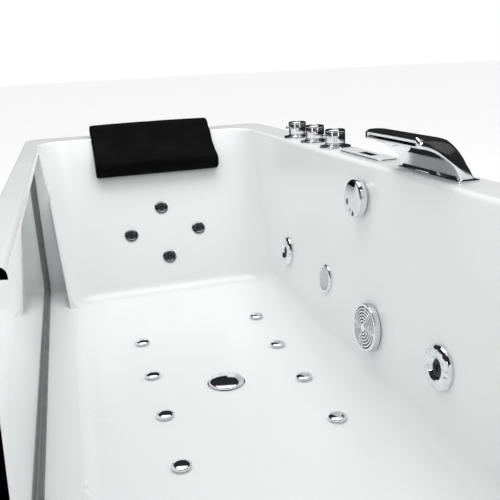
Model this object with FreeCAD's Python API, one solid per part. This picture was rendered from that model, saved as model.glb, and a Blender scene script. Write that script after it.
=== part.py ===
import FreeCAD, Part
import math
import os

V = FreeCAD.Vector
os.makedirs("parts", exist_ok=True)

# A jetted bathtub with one glass long side, on a levelling frame behind removable panels.
# Millimetres. X runs along the tub with the headrest at -X, the glass side is -Y and the
# side with the taps is +Y. Z = 0 is the floor under the feet, at the middle of the tub.

# Overall sizes
length = 1700.0
width = 700.0
basin_depth = 404.0
floor_clearance = 176.0
rim_corner = 45.0
rim_thickness = 8.0
shell_wall = 6.0
lip_wall = 8.0
lip_depth = 45.0

# Basin
head_rim = 114.0
foot_rim = 95.0
tap_deck = 78.0
glass_side_rim = 40.0
backrest_slope = 0.70
foot_slope = 0.22
side_slope = 0.085
floor_arc = 6500.0
floor_fall = 4.0
basin_corner = 75.0
floor_blend = 50.0
rim_round = 10.0
outer_round = 5.0

# Window in the glass side
window_end = 258.0
sill_over_floor = 24.0
window_top = 13.0
window_corner = 14.0
window_band = 48.0
window_foot = 40.0
rabbet = 6.0
rabbet_depth = 14.0
glass_thickness = 10.0
gasket_width = 18.0
gasket_lip = 8.0
gasket_rise = 6.0
retainer_thickness = 4.0
retainer_lap = 12.0
retainer_margin = 33.0
recess_land = 50.0
recess_lower = 30.0

# Frame, feet and supports
tube_size = 25.0
tube_wall = 2.0
frame_stack = 116.0
foot_inset = 150.0
foot_pad_r = 25.0
foot_pad_h = 12.0
foot_stem_r = 6.0
foot_clear = 0.3
nut_r = 11.0
nut_h = 8.0
rail_inset = 45.0
post_under_rim = 80.0
support_head_in = 356.0
support_foot_in = 385.0
support_side_in = 110.0
support_tap_in = 62.0
support_inner = (-45.0, 60.0)
support_x = 40.0
support_y = 50.0

# Skirt panels
panel_thickness = 4.0
panel_gap = 0.5
panel_floor_gap = 15.0
panel_under_rim = 15.0
panel_seam_in = 50.0
vent_count = 10
vent_pitch = 14.0
vent_height = 6.0
vent_length = 120.0
vent_inset = 350.0
vent_drop = 380.0
service_hole_r = 16.0
service_hole_drop = 150.0
screw_drops = (440.0, 280.0, 120.0)
screw_r = 2.0
screw_head_r = 4.5
screw_head_h = 2.5
screw_length = 8.0

# Headrest
headrest_width = 340.0
headrest_draw = ((0.0, 0.93), (7.0, 0.975), (22.0, 1.0))

# Fittings in the basin
run_clear = 0.3
drain_x = 55.0
plug_r = 33.8
plug_rise = 6.0
plug_stem_r = 5.0
plug_stem = 38.0
waste_flange_r = 36.0
waste_bore_r = 22.0
waste_depth = 46.0
overflow_x = 90.0
overflow_drop = 66.0
overflow_r = 35.0
overflow_depth = 20.0
overflow_neck_r = 17.0
overflow_back_r = 22.0
overflow_mark_r = 22.5
overflow_marks = (200.0, 260.0)
side_jet_places = (-287.0, 390.0)
side_jet_drop = 263.0
side_jet_r = 35.0
side_neck_r = 24.0
side_flutes = 12
ball_r = 15.0
ball_z = -4.0
nozzle_face = 6.5
nozzle_bore_r = 5.5
light_x = -48.0
light_drop = 260.0
light_r = 30.0
light_neck_r = 20.0
light_lens_r = 23.0
suction_x = 165.0
suction_drop = 286.0
suction_r = 44.0
suction_neck_r = 33.0
suction_side = 11.0
suction_wall = 4.0
suction_rings = (9.5, 15.0, 20.5, 26.0, 31.5, 37.0)
suction_slot = 2.5
suction_bar = 6.0
back_jet_r = 18.5
back_neck_r = 14.0
back_tail_r = 7.5
back_jet_drops = (189.0, 248.0, 307.0)
back_jet_spread = 92.0
back_jet_centre = -8.0
floor_jet_r = 16.0
floor_neck_r = 9.0
floor_flange_r = 13.0
floor_jet_pitch = 160.0
floor_jet_count = 4
left_row_in = 180.0
left_row_x = -182.0
right_row_in = 128.0
right_row_x = -228.0

# Deck fittings
tap_inset = 38.0
tap_first_x = -369.0
tap_pitch = 117.0
tap_r = 21.3
tap_height = 38.0
rosette_r = 33.0
rosette_h = 6.0
valve_neck_r = 14.0
valve_body_r = 17.0
valve_drop = 80.0
stem_r = 8.0
stem_length = 28.0
inlet_r = 10.5
inlet_length = 22.0
panel_x = 24.0
panel_inset = 41.0
panel_length = 172.0
panel_width = 38.0
panel_height = 4.0
panel_corner = 7.0
display_length = 54.0
display_width = 16.0
display_shift = 3.0
control_half = 60.0
control_side = 14.0
control_depth = 26.0
spout_x0 = 177.0
spout_x1 = 347.0
spout_foot_in = 26.0
spout_root_in = 38.0
spout_neck_r = 9.0
mixer_in = 52.0
mixer_drop = 37.0
mixer_r = 7.0

# Pipes and machines
pipe_wall = 2.0
water_r = 12.0
ladder_r = 11.0
stub_r = 9.0
header_in = 50.0
header_over_floor = 49.0
header_hump = 28.0
back_line = 58.0
suction_pipe_r = 14.0
air_r = 10.0
air_link_r = 9.0
air_under_floor = 46.0
air_link_x = -450.0
overflow_pipe_r = 10.5
overflow_pipe_out = 20.0
waste_side_drop = 23.5
waste_outlet_r = 20.0
trap_r = 34.0
trap_wall = 4.0
trap_clear = 108.0
trap_outlet_rise = 24.0
trap_outlet_length = 150.0
trap_socket_length = 50.0
trap_collar_r = 22.0
cable_x = 22.0
cable_r = 3.0
pump_inset = 85.0
pump_over_frame = 55.0
pump_y0 = 70.0
pump_y1 = 130.0
pump_r = 48.0
pump_outlet_over_floor = 40.0
motor_r = 50.0
motor_length = 170.0
shaft_r = 7.0
blower_inset = 145.0
blower_r = 75.0
box_inset = 72.0
box_length = 148.0
box_tap_in = 160.0
box_width = 130.0
box_height = 70.0
gland_r = 9.0
gland_bore = 5.0
gland_length = 18.0
gland_height = 30.0

# Worked out from the sizes above
half_l = length / 2
half_w = width / 2
top = basin_depth + floor_clearance
slab_under = top - rim_thickness
head_x = -half_l + head_rim
foot_x = half_l - foot_rim
tap_y = half_w - tap_deck
glass_y = -half_w + glass_side_rim
floor_z = floor_clearance
window_half = half_l - window_end
sill_z = floor_z + sill_over_floor
head_z = top - window_top
block_half = window_half + window_band
block_under = sill_z - window_foot
block_face = -half_w + retainer_thickness
rabbet_y = block_face + rabbet_depth
rail_z = floor_clearance - frame_stack
cross_z = rail_z + tube_size
post_z = cross_z + tube_size
rail_edge = half_w - rail_inset
skin_out = half_w - lip_wall - panel_gap
skin_in = skin_out - panel_thickness
skin_out_x = half_l - lip_wall - panel_gap
skin_in_x = skin_out_x - panel_thickness
tap_line = half_w - tap_inset
panel_line = half_w - panel_inset
spout_mid_x = (spout_x0 + spout_x1) / 2
spout_root_y = half_w - spout_root_in
left_row_y = glass_y + left_row_in
right_row_y = tap_y - right_row_in
waste_side_z = floor_z - waste_side_drop
air_z = floor_z - air_under_floor
header_y = half_w - header_in
header_z = floor_z + header_over_floor
pump_x = half_l - pump_inset
pump_z = post_z + pump_over_frame
pump_outlet_z = floor_z + pump_outlet_over_floor
blower_x = -half_l + blower_inset
nodes = {}


def box(x0, x1, y0, y1, z0, z1):
    return Part.makeBox(x1 - x0, y1 - y0, z1 - z0, V(x0, y0, z0))


def rod(radius, height, base=V(0, 0, 0), way=V(0, 0, 1)):
    return Part.makeCylinder(radius, height, base, way)


def join(shapes):
    whole = shapes[0]
    for shape in shapes[1:]:
        whole = whole.fuse(shape)
    return whole.removeSplitter()


def rounded_plate(half_x, half_y, radius, z0, z1):
    plate = box(-half_x, half_x, -half_y, half_y, z0, z1)
    corners = [e for e in plate.Edges if e.BoundBox.ZLength > (z1 - z0) / 2]
    return plate.makeFillet(radius, corners)


def spin(points):
    """Solid of revolution about Z through (radius, height) points."""
    outline = [V(r, 0, z) for r, z in points]
    face = Part.Face(Part.makePolygon(outline + [outline[0]]))
    return face.revolve(V(0, 0, 0), V(0, 0, 1), 360)


def dome(radius, rise, z0):
    """Cap of a sphere standing on height z0."""
    ball_r = (radius * radius + rise * rise) / (2 * rise)
    ball = Part.makeSphere(ball_r, V(0, 0, z0 + rise - ball_r))
    return ball.common(rod(radius, rise, V(0, 0, z0)))


def pipe(points, radius, bend):
    """Round bar along straight runs joined by tangent arcs."""
    edges = []
    start = points[0]
    for i in range(1, len(points) - 1):
        corner = points[i]
        back = (points[i - 1] - corner).normalize()
        ahead = (points[i + 1] - corner).normalize()
        turn = math.pi - back.getAngle(ahead)
        reach = bend * math.tan(turn / 2)
        arc_in = corner + back * reach
        arc_out = corner + ahead * reach
        middle = (back + ahead).normalize()
        centre = corner + middle * (bend / math.cos(turn / 2))
        edges.append(Part.LineSegment(start, arc_in).toShape())
        edges.append(Part.Arc(arc_in, centre - middle * bend, arc_out).toShape())
        start = arc_out
    edges.append(Part.LineSegment(start, points[-1]).toShape())
    path = Part.Wire(edges)
    way = (points[1] - points[0]).normalize()
    ring = Part.Wire(Part.makeCircle(radius, points[0], way))
    return path.makePipeShell([ring], True, False)


def hollow_pipes(runs, wall, bend):
    """Pipes, each a route and a radius, that open into each other where they meet."""
    outer = join([pipe(route, radius, bend) for route, radius in runs])
    for route, radius in runs:
        outer = outer.cut(pipe(route, radius - wall, bend))
    return outer


# Places on the basin's walls: local +Z points into the basin, the origin is on the surface
def placed(shape, origin, x_way, z_way):
    turn = FreeCAD.Rotation(x_way, z_way.cross(x_way), z_way, "ZXY")
    moved = shape.copy()
    moved.Placement = FreeCAD.Placement(origin, turn)
    return moved


def tap_wall_point(drop):
    return tap_y - side_slope * drop


def on_tap_wall(shape, x, drop):
    lean = math.atan(side_slope)
    inward = V(0, -math.cos(lean), math.sin(lean))
    return placed(shape, V(x, tap_wall_point(drop), top - drop), V(1, 0, 0), inward)


def on_backrest(shape, y, drop):
    lean = math.atan(backrest_slope)
    inward = V(math.cos(lean), 0, math.sin(lean))
    return placed(shape, V(head_x + backrest_slope * drop, y, top - drop), V(0, 1, 0), inward)


def floor_height(x):
    if x < drain_x:
        return floor_z + floor_arc - math.sqrt(floor_arc ** 2 - (drain_x - x) ** 2)
    return floor_z + floor_fall * (x - drain_x) / (foot_x - foot_slope * basin_depth - drain_x)


def on_floor(shape, x, y):
    step = 1.0
    rise = floor_height(x + step) - floor_height(x)
    up = V(-rise, 0, step).normalize()
    return placed(shape, V(x, y, floor_height(x)), V(step, 0, rise).normalize(), up)


def floor_jet_spots():
    spots = []
    for y, first_x in ((left_row_y, left_row_x), (right_row_y, right_row_x)):
        for i in range(floor_jet_count):
            spots.append((first_x + i * floor_jet_pitch, y))
    return spots


def back_jet_spots():
    high, middle, low = back_jet_drops
    left = back_jet_centre - back_jet_spread
    right = back_jet_centre + back_jet_spread
    return [(back_jet_centre, high), (left, middle), (right, middle), (back_jet_centre, low)]


# Basin form, grown outwards by offset for the outside of the shell
def long_section(offset, roof):
    """Side view: backrest, floor rising in a wide arc to the head end, foot wall."""
    back_shift = offset * math.hypot(1, backrest_slope)
    foot_shift = offset * math.hypot(1, foot_slope)
    low, high = floor_z - offset, floor_z + 150.0
    arc_r = floor_arc + offset
    for _ in range(50):
        z = (low + high) / 2
        x = head_x - back_shift + backrest_slope * (top - z)
        arc_z = floor_z + floor_arc - math.sqrt(arc_r ** 2 - (x - drain_x) ** 2)
        if arc_z > z:
            low = z
        else:
            high = z
    mid_x = (x + drain_x) / 2
    mid_z = floor_z + floor_arc - math.sqrt(arc_r ** 2 - (mid_x - drain_x) ** 2)
    end_z = floor_z - offset + floor_fall
    end_x = foot_x + foot_shift - foot_slope * (top - end_z)
    start = V(head_x - back_shift - backrest_slope * (roof - top), -width, roof)
    heel = V(x, -width, z)
    drain = V(drain_x, -width, floor_z - offset)
    toe = V(end_x, -width, end_z)
    close = V(foot_x + foot_shift + foot_slope * (roof - top), -width, roof)
    edges = [Part.LineSegment(start, heel).toShape(),
             Part.Arc(heel, V(mid_x, -width, mid_z), drain).toShape(),
             Part.LineSegment(drain, toe).toShape(),
             Part.LineSegment(toe, close).toShape(),
             Part.LineSegment(close, start).toShape()]
    return Part.Face(Part.Wire(edges)).extrude(V(0, 2 * width, 0))


def cross_section(offset, roof):
    shift = offset * math.hypot(1, side_slope)
    rise = roof - top
    base = 100.0
    fall = top - base
    corners = [(tap_y + shift + side_slope * rise, roof), (tap_y + shift - side_slope * fall, base),
               (glass_y - shift + side_slope * fall, base), (glass_y - shift - side_slope * rise, roof)]
    outline = [V(-length, y, z) for y, z in corners]
    return Part.Face(Part.makePolygon(outline + [outline[0]])).extrude(V(2 * length, 0, 0))


def basin(offset, roof):
    form = long_section(offset, roof).common(cross_section(offset, roof)).removeSplitter()
    upright = [e for e in form.Edges if e.BoundBox.ZMin < top - 100 and e.BoundBox.ZMax > roof - 1]
    form = form.makeFillet(basin_corner + offset, upright)
    lower = [e for e in form.Edges if e.BoundBox.ZMax < top - 150]
    return form.makeFillet(floor_blend + offset, lower)


def window_form(grow, y0, y1):
    """Rounded box through the glass side, larger than the opening by grow."""
    half = window_half + grow
    form = box(-half, half, y0, y1, sill_z - grow, head_z + grow)
    edges = [e for e in form.Edges if e.BoundBox.YLength > (y1 - y0) / 2]
    return form.makeFillet(window_corner + max(grow, 0), edges)


# Tub shell with its rim, window surround and holes
def tub_shell():
    rim = rounded_plate(half_l, half_w, rim_corner, slab_under, top)
    rim = rim.makeFillet(outer_round, [e for e in rim.Edges if e.BoundBox.ZMin > top - 0.1])
    lip = rounded_plate(half_l, half_w, rim_corner, top - lip_depth, slab_under)
    inside = rounded_plate(half_l - lip_wall, half_w - lip_wall, rim_corner - lip_wall,
                           top - lip_depth - 1, slab_under)
    lip = lip.cut(inside)
    lip = lip.cut(box(-block_half, block_half, -half_w - 1, 0, 0, slab_under))
    block = box(-block_half, block_half, block_face, glass_y + 70, block_under, top - 1)
    shell = join([rim, lip, basin(shell_wall, top - 1), block])
    shell = shell.cut(basin(0, top + 20))
    inner = [e for e in shell.Edges
             if e.BoundBox.ZMin > top - 0.1 and e.BoundBox.XMin > -half_l + 60
             and e.BoundBox.XMax < half_l - 60 and e.BoundBox.YMax < half_w - 30
             and e.BoundBox.YMin > -half_w + 20]
    shell = shell.makeFillet(rim_round, inner)
    for cutter in window_cuts():
        shell = shell.cut(cutter)
    for cutter in shell_holes():
        shell = shell.cut(cutter)
    return shell


def window_cuts():
    """A recess as deep as the basin's side, opened wide where the basin lies behind it."""
    opening = window_form(0, -half_w - 1, glass_y + 90)
    wall = [(-width, top + 50), (glass_y - side_slope * 50, top + 50), (glass_y + side_slope * top, 0),
            (-width, 0)]
    outline = [V(-length, y, z) for y, z in wall]
    outside = Part.Face(Part.makePolygon(outline + [outline[0]])).extrude(V(2 * length, 0, 0))
    behind = long_section(0, top + 50)
    behind.translate(V(recess_land + backrest_slope * recess_lower, 0, -recess_lower))
    return [opening.common(outside), opening.common(behind), window_form(rabbet, block_face - 1, rabbet_y)]


def shell_holes():
    through = V(0, 0, -3 * shell_wall)
    holes = [rod(waste_bore_r, 6 * shell_wall, V(drain_x, 0, floor_z - 3 * shell_wall)),
             on_tap_wall(rod(overflow_neck_r, 6 * shell_wall, through), overflow_x, overflow_drop),
             on_tap_wall(rod(light_neck_r, 6 * shell_wall, through), light_x, light_drop),
             on_tap_wall(rod(suction_neck_r, 6 * shell_wall, through), suction_x, suction_drop)]
    for x in side_jet_places:
        holes.append(on_tap_wall(rod(side_neck_r, 6 * shell_wall, through), x, side_jet_drop))
    for y, drop in back_jet_spots():
        holes.append(on_backrest(rod(back_neck_r, 6 * shell_wall, through), y, drop))
    holes.append(rod(waste_flange_r, 3, V(drain_x, 0, floor_z)))
    for x, y in floor_jet_spots():
        holes.append(on_floor(rod(floor_neck_r, 6 * shell_wall, through), x, y))
        holes.append(on_floor(rod(floor_flange_r, 2), x, y))
    for x in tap_places():
        holes.append(rod(valve_neck_r, 40, V(x, tap_line, slab_under - 10)))
    holes.append(rod(spout_neck_r, 40, V(spout_mid_x, spout_root_y, slab_under - 10)))
    holes.append(box(panel_x - control_half, panel_x + control_half, panel_line - control_side,
                     panel_line + control_side, slab_under - 10, top + 10))
    return holes


def tap_places():
    return [tap_first_x + i * tap_pitch for i in range(3)]


# Window: laminated glass in a rubber gasket behind a metal retainer
def window():
    glass_y0 = block_face + (rabbet_depth - glass_thickness) / 2
    glass = window_form(2.0, glass_y0, glass_y0 + glass_thickness)
    gasket = window_form(rabbet, block_face, rabbet_y).cut(window_form(-gasket_width, -half_w, 0))
    nodes["glass_window"] = glass
    lip_form = window_form(-run_clear, rabbet_y, rabbet_y + gasket_rise)
    lip = lip_form.cut(window_form(-gasket_lip, -half_w, 0))
    nodes["window_gasket"] = join([gasket.cut(glass), lip])
    outer = box(-window_half - retainer_margin, window_half + retainer_margin, -half_w, block_face,
                sill_z - retainer_margin, slab_under - 1)
    nodes["window_retainer"] = outer.cut(window_form(-retainer_lap, -half_w - 1, block_face + 1))


# Welded steel frame on levelling feet
def square_tube(x0, x1, y0, y1, z0, z1, axis):
    outer = box(x0, x1, y0, y1, z0, z1)
    t = tube_wall
    if axis == "X":
        return outer.cut(box(x0 - 1, x1 + 1, y0 + t, y1 - t, z0 + t, z1 - t))
    if axis == "Y":
        return outer.cut(box(x0 + t, x1 - t, y0 - 1, y1 + 1, z0 + t, z1 - t))
    return outer.cut(box(x0 + t, x1 - t, y0 + t, y1 - t, z0 - 1, z1 + 1))


def rail_y(side):
    return side * (rail_edge - tube_size / 2)


def foot_places():
    return [-half_l + foot_inset, 0.0, half_l - foot_inset]


def support_places():
    return [head_x + support_head_in, foot_x - support_foot_in]


def cross_places():
    post = block_half + tube_size / 2
    return [-pump_x, -post] + support_places() + [post, pump_x]


def frame():
    half = tube_size / 2
    rails = []
    for side in (-1, 1):
        y = rail_y(side)
        rail = square_tube(-skin_in_x, skin_in_x, y - half, y + half, rail_z, cross_z, "X")
        for x in foot_places():
            rail = rail.cut(rod(foot_stem_r + foot_clear, tube_wall + 2, V(x, y, rail_z - 1)))
        rails.append(rail)
    for x in cross_places():
        rails.append(square_tube(x - half, x + half, -skin_in, skin_in, cross_z, post_z, "Y"))
    posts = []
    for side in (-1, 1):
        for end in (-1, 1):
            x = end * (skin_in_x - half)
            y = rail_y(side)
            posts.append(square_tube(x - half, x + half, y - half, y + half, cross_z, slab_under, "Z"))
    post_x = block_half + half
    for x in (-post_x, post_x):
        y = skin_in - half
        posts.append(square_tube(x - half, x + half, y - half, y + half, post_z, slab_under, "Z"))
        posts.append(square_tube(x - half, x + half, -y - half, -y + half, post_z,
                                 top - post_under_rim, "Z"))
    nodes["base_rails"] = rails
    nodes["frame_posts"] = posts
    under = basin(shell_wall, top - 1)
    blocks = []
    support_rows = [glass_y + support_side_in, support_inner[0], support_inner[1], tap_y - support_tap_in]
    for x in support_places():
        for y in support_rows:
            block = box(x - support_x / 2, x + support_x / 2, y - support_y / 2, y + support_y / 2,
                        post_z, floor_z + floor_blend)
            blocks.append(lowest(block.cut(under)))
    nodes["floor_supports"] = blocks


def lowest(shape):
    return min(shape.Solids, key=lambda s: s.BoundBox.ZMin)


def feet():
    nuts = []
    number = 0
    for side in (-1, 1):
        for x in foot_places():
            number += 1
            y = rail_y(side)
            stem_top = rail_z + tube_size - tube_wall - 1
            pad = spin([(0, 0), (foot_pad_r, 0), (foot_pad_r, 5), (foot_stem_r + 4, foot_pad_h),
                        (0, foot_pad_h)])
            stem = rod(foot_stem_r, stem_top - foot_pad_h + 1, V(0, 0, foot_pad_h - 1))
            foot = join([pad, stem])
            foot.translate(V(x, y, 0))
            nodes["levelling_foot_%d" % number] = foot
            corners = [math.radians(a) for a in range(0, 361, 60)]
            flat = Part.makePolygon([V(nut_r * math.cos(a), nut_r * math.sin(a), 0) for a in corners])
            nut = Part.Face(flat).extrude(V(0, 0, nut_h))
            nut = nut.cut(rod(foot_stem_r + foot_clear, nut_h + 2, V(0, 0, -1)))
            nut.translate(V(x, y, rail_z - nut_h))
            nuts.append(nut)
    nodes["foot_lock_nuts"] = nuts


# Removable panels cut from one skirt, with their screws
def panels():
    high = top - panel_under_rim
    skirt = rounded_plate(skin_out_x, skin_out, rim_corner - lip_wall - panel_gap, panel_floor_gap, high)
    hollow = rounded_plate(skin_in_x, skin_in, rim_corner - lip_wall - panel_gap - panel_thickness,
                           panel_floor_gap - 1, high + 1)
    skirt = skirt.cut(hollow)
    seam = half_l - panel_seam_in - panel_gap / 2
    front = skirt.common(box(-seam, seam, -half_w, 0, 0, top))
    surround = box(-block_half - panel_gap, block_half + panel_gap, -half_w, 0,
                   block_under - panel_gap, top)
    front = front.cut(surround)
    back = skirt.common(box(-seam, seam, 0, half_w, 0, top))
    for i in range(vent_count):
        for centre in (vent_inset - half_l, half_l - vent_inset):
            z = top - vent_drop + i * vent_pitch
            back = back.cut(box(centre - vent_length / 2, centre + vent_length / 2, skin_in - 1,
                                skin_out + 1, z, z + vent_height))
    for x in (tap_places()[0], tap_places()[2]):
        back = back.cut(rod(service_hole_r, 20, V(x, skin_in - 5, top - service_hole_drop), V(0, 1, 0)))
    head = skirt.common(box(-half_l, -seam - panel_gap, -half_w, half_w, 0, top))
    foot = skirt.common(box(seam + panel_gap, half_l, -half_w, half_w, 0, top))
    screws = []
    post_x = block_half + tube_size / 2
    for x in (-post_x, post_x):
        for drop in screw_drops:
            screws.append(screw(V(x, -skin_out, top - drop), V(0, 1, 0)))
            screws.append(screw(V(x, skin_out, top - drop), V(0, -1, 0)))
    for y in (rail_y(-1), rail_y(1)):
        for drop in (screw_drops[0], screw_drops[-1]):
            screws.append(screw(V(-skin_out_x, y, top - drop), V(1, 0, 0)))
            screws.append(screw(V(skin_out_x, y, top - drop), V(-1, 0, 0)))
    nodes["front_panel"] = front
    nodes["back_panel"] = back
    nodes["head_end_panel"] = head
    nodes["foot_end_panel"] = foot
    nodes["panel_screws"] = screws
    for s in screws:
        shank = s.copy()
        for name in ("front_panel", "back_panel", "head_end_panel", "foot_end_panel"):
            if nodes[name].distToShape(shank)[0] < 0.001:
                nodes[name] = nodes[name].cut(shank)
        nodes["frame_posts"] = [p.cut(shank) if p.distToShape(shank)[0] < 0.001 else p
                                for p in nodes["frame_posts"]]


def screw(place, way):
    head = rod(screw_head_r, screw_head_h, place - way * screw_head_h, way)
    return join([head, rod(screw_r, screw_length, place - way * 0.5, way)])


# Moulded headrest hooked over the rim, crowned and drawn in at its ends
def headrest_section(y, size):
    """Side view of the headrest, drawn in towards the rim's inner edge by size."""
    def at(x, z):
        return V(head_x + x * size, y, top + z * size)
    heel = at(62, -92)
    edges = [Part.LineSegment(at(-61, -3), at(-61, 14)).toShape(),
             Part.Arc(at(-61, 14), at(-55.5, 28), at(-41, 33.5)).toShape(),
             Part.Arc(at(-41, 33.5), at(-27, 32), at(-14, 24)).toShape(),
             Part.Arc(at(-14, 24), at(36, -26), at(96, -58)).toShape(),
             Part.Arc(at(96, -58), at(106, -78), at(90, -99)).toShape(),
             Part.Arc(at(90, -99), at(77, -101), heel).toShape(),
             Part.LineSegment(heel, at(-7, -10)).toShape(),
             Part.LineSegment(at(-7, -10), at(-61, -3)).toShape()]
    return Part.Wire(edges)


def headrest():
    half = headrest_width / 2
    straight = half - headrest_draw[-1][0]
    body = Part.Face(headrest_section(-straight, 1.0)).extrude(V(0, 2 * straight, 0))
    for side in (-1, 1):
        ends = [headrest_section(side * (half - back), size) for back, size in headrest_draw]
        body = body.fuse(Part.makeLoft(ends, True, False))
    pillow = body.removeSplitter().cut(nodes["tub_shell"])
    nodes["headrest"] = biggest(pillow)


# Small back jets with spinning nozzles
def back_jets():
    body = spin([(0, -62), (back_tail_r, -62), (back_tail_r, -40), (back_neck_r, -36), (back_neck_r, 0),
                 (back_jet_r, 0), (back_jet_r, 1.5), (back_jet_r - 2.5, 4), (12, 4), (11.2, 3.4),
                 (11.2, -12), (5, -12), (5, -52), (0, -52)])
    nozzle = spin([(0, -11.7), (10.9, -11.7), (10.9, 2.2), (8, 4.2), (4, 5), (0, 5)])
    nozzle = nozzle.cut(rod(2.5, 30, V(5, 0, -20), V(-0.12, 0, 1)))
    nozzle = nozzle.cut(rod(3.0, 12, V(0, 0, -12)))
    bodies = []
    for i, (y, drop) in enumerate(back_jet_spots()):
        bodies.append(on_backrest(body, y, drop))
        nodes["back_jet_nozzle_%d" % (i + 1)] = on_backrest(nozzle, y, drop)
    nodes["back_jet_bodies"] = bodies


# Side jets: a turning rosette holds a ball nozzle that tilts
def side_jets():
    body = spin([(0, -70), (13, -70), (13, -34), (side_neck_r, -30), (side_neck_r, 0), (side_jet_r - 4, 0),
                 (side_jet_r - 4, 2),
                 (18.8, 2), (18.8, -20), (8, -20), (8, -60), (0, -60)])
    skirt = spin([(18.5, 2.3), (side_jet_r - 3.7, 2.3), (side_jet_r - 3.7, 0.4), (side_jet_r, 0.4),
                  (side_jet_r, 3), (side_jet_r - 2, 6.5), (side_jet_r - 7.5, 10.5), (22, 11.5),
                  (18, 10), (15, 6.5), (11, 4), (11, 2.3)])
    neck = rod(18.5, 14, V(0, 0, -10))
    rosette = join([skirt, neck]).cut(Part.makeSphere(ball_r + run_clear, V(0, 0, ball_z)))
    rosette = rosette.cut(rod(9.0, 40, V(0, 0, -20)))
    flute_r = side_jet_r - 3
    for i in range(side_flutes):
        angle = 2 * math.pi * i / side_flutes
        flute = Part.makeSphere(5.0, V(flute_r * math.cos(angle), flute_r * math.sin(angle), 12.5))
        rosette = rosette.cut(flute)
    nozzle = Part.makeSphere(ball_r, V(0, 0, ball_z)).cut(rod(ball_r, ball_r, V(0, 0, nozzle_face)))
    nozzle = nozzle.cut(rod(nozzle_bore_r, 60, V(0, 0, -30)))
    bodies = []
    for i, x in enumerate(side_jet_places):
        shell_part = on_tap_wall(body, x, side_jet_drop)
        stub_z = top - side_jet_drop
        stub = rod(stub_r, stub_z - header_z - 8, V(x, header_y, header_z + 6))
        bodies.append(join([shell_part, stub]))
        nodes["side_jet_rosette_%d" % (i + 1)] = on_tap_wall(rosette, x, side_jet_drop)
        nodes["side_jet_nozzle_%d" % (i + 1)] = on_tap_wall(nozzle, x, side_jet_drop)
    nodes["side_jet_bodies"] = bodies


def light():
    housing = spin([(0, -36), (light_neck_r, -36), (light_neck_r, 0), (light_r, 0), (light_r, 2.5),
                    (light_r - 2.5, 5), (light_lens_r + 1, 5), (light_lens_r, 4), (light_lens_r, 2), (0, 2)])
    lens = join([rod(light_lens_r, 2, V(0, 0, 2)), dome(light_lens_r, 3.5, 4)])
    nodes["light_housing"] = on_tap_wall(housing, light_x, light_drop)
    nodes["light_lens"] = on_tap_wall(lens, light_x, light_drop)


# Suction fitting whose domed grille has rings of slots
def suction_form():
    return spin([(0, -38), (26, -38), (suction_neck_r, -20), (suction_neck_r, 0), (suction_r - 2, 0),
                 (suction_r - 2, 2), (0, 2)])


def suction():
    chamber = spin([(0, -32), (22, -32), (29, -18), (29, 3), (0, 3)])
    body = suction_form().cut(chamber)
    side_top = 2 + suction_side
    inner_r = suction_r - suction_wall
    grille = join([rod(suction_r, suction_side, V(0, 0, 2)), dome(suction_r, 3, side_top)])
    hollow = join([rod(inner_r, side_top - 3, V(0, 0, 1)), dome(inner_r, 2.5, side_top - 2)])
    grille = grille.cut(hollow)
    for ring_r in suction_rings:
        ring = rod(ring_r + suction_slot / 2, side_top + 10)
        ring = ring.cut(rod(ring_r - suction_slot / 2, side_top + 10))
        for turn in (45, 135):
            bar = box(-suction_r, suction_r, -suction_bar / 2, suction_bar / 2, -1, side_top + 11)
            bar.rotate(V(0, 0, 0), V(0, 0, 1), turn)
            ring = ring.cut(bar)
        grille = grille.cut(ring)
    grille = join([grille, rod(5, suction_side + 1, V(0, 0, 2))])
    nodes["suction_body"] = on_tap_wall(body, suction_x, suction_drop)
    nodes["suction_grille"] = on_tap_wall(grille, suction_x, suction_drop)


def floor_jets():
    body = spin([(0, -52), (6, -52), (6, -12), (floor_neck_r, -10), (floor_neck_r, 0), (floor_flange_r, 0),
                 (floor_flange_r, 2), (4, 2), (4, -50), (0, -50)])
    cap = join([spin([(0, 2), (floor_flange_r, 2), (floor_jet_r, 3.5), (floor_jet_r, 5), (0, 5)]),
                dome(floor_jet_r, 4.5, 5)])
    bodies = []
    caps = []
    for x, y in floor_jet_spots():
        pipe_top = air_z + air_r - 2
        base = on_floor(body, x, y)
        bodies.append(base.cut(box(x - 30, x + 30, y - 30, y + 30, 0, pipe_top)))
        caps.append(on_floor(cap, x, y))
    nodes["floor_jet_bodies"] = bodies
    nodes["floor_jet_caps"] = caps


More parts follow.
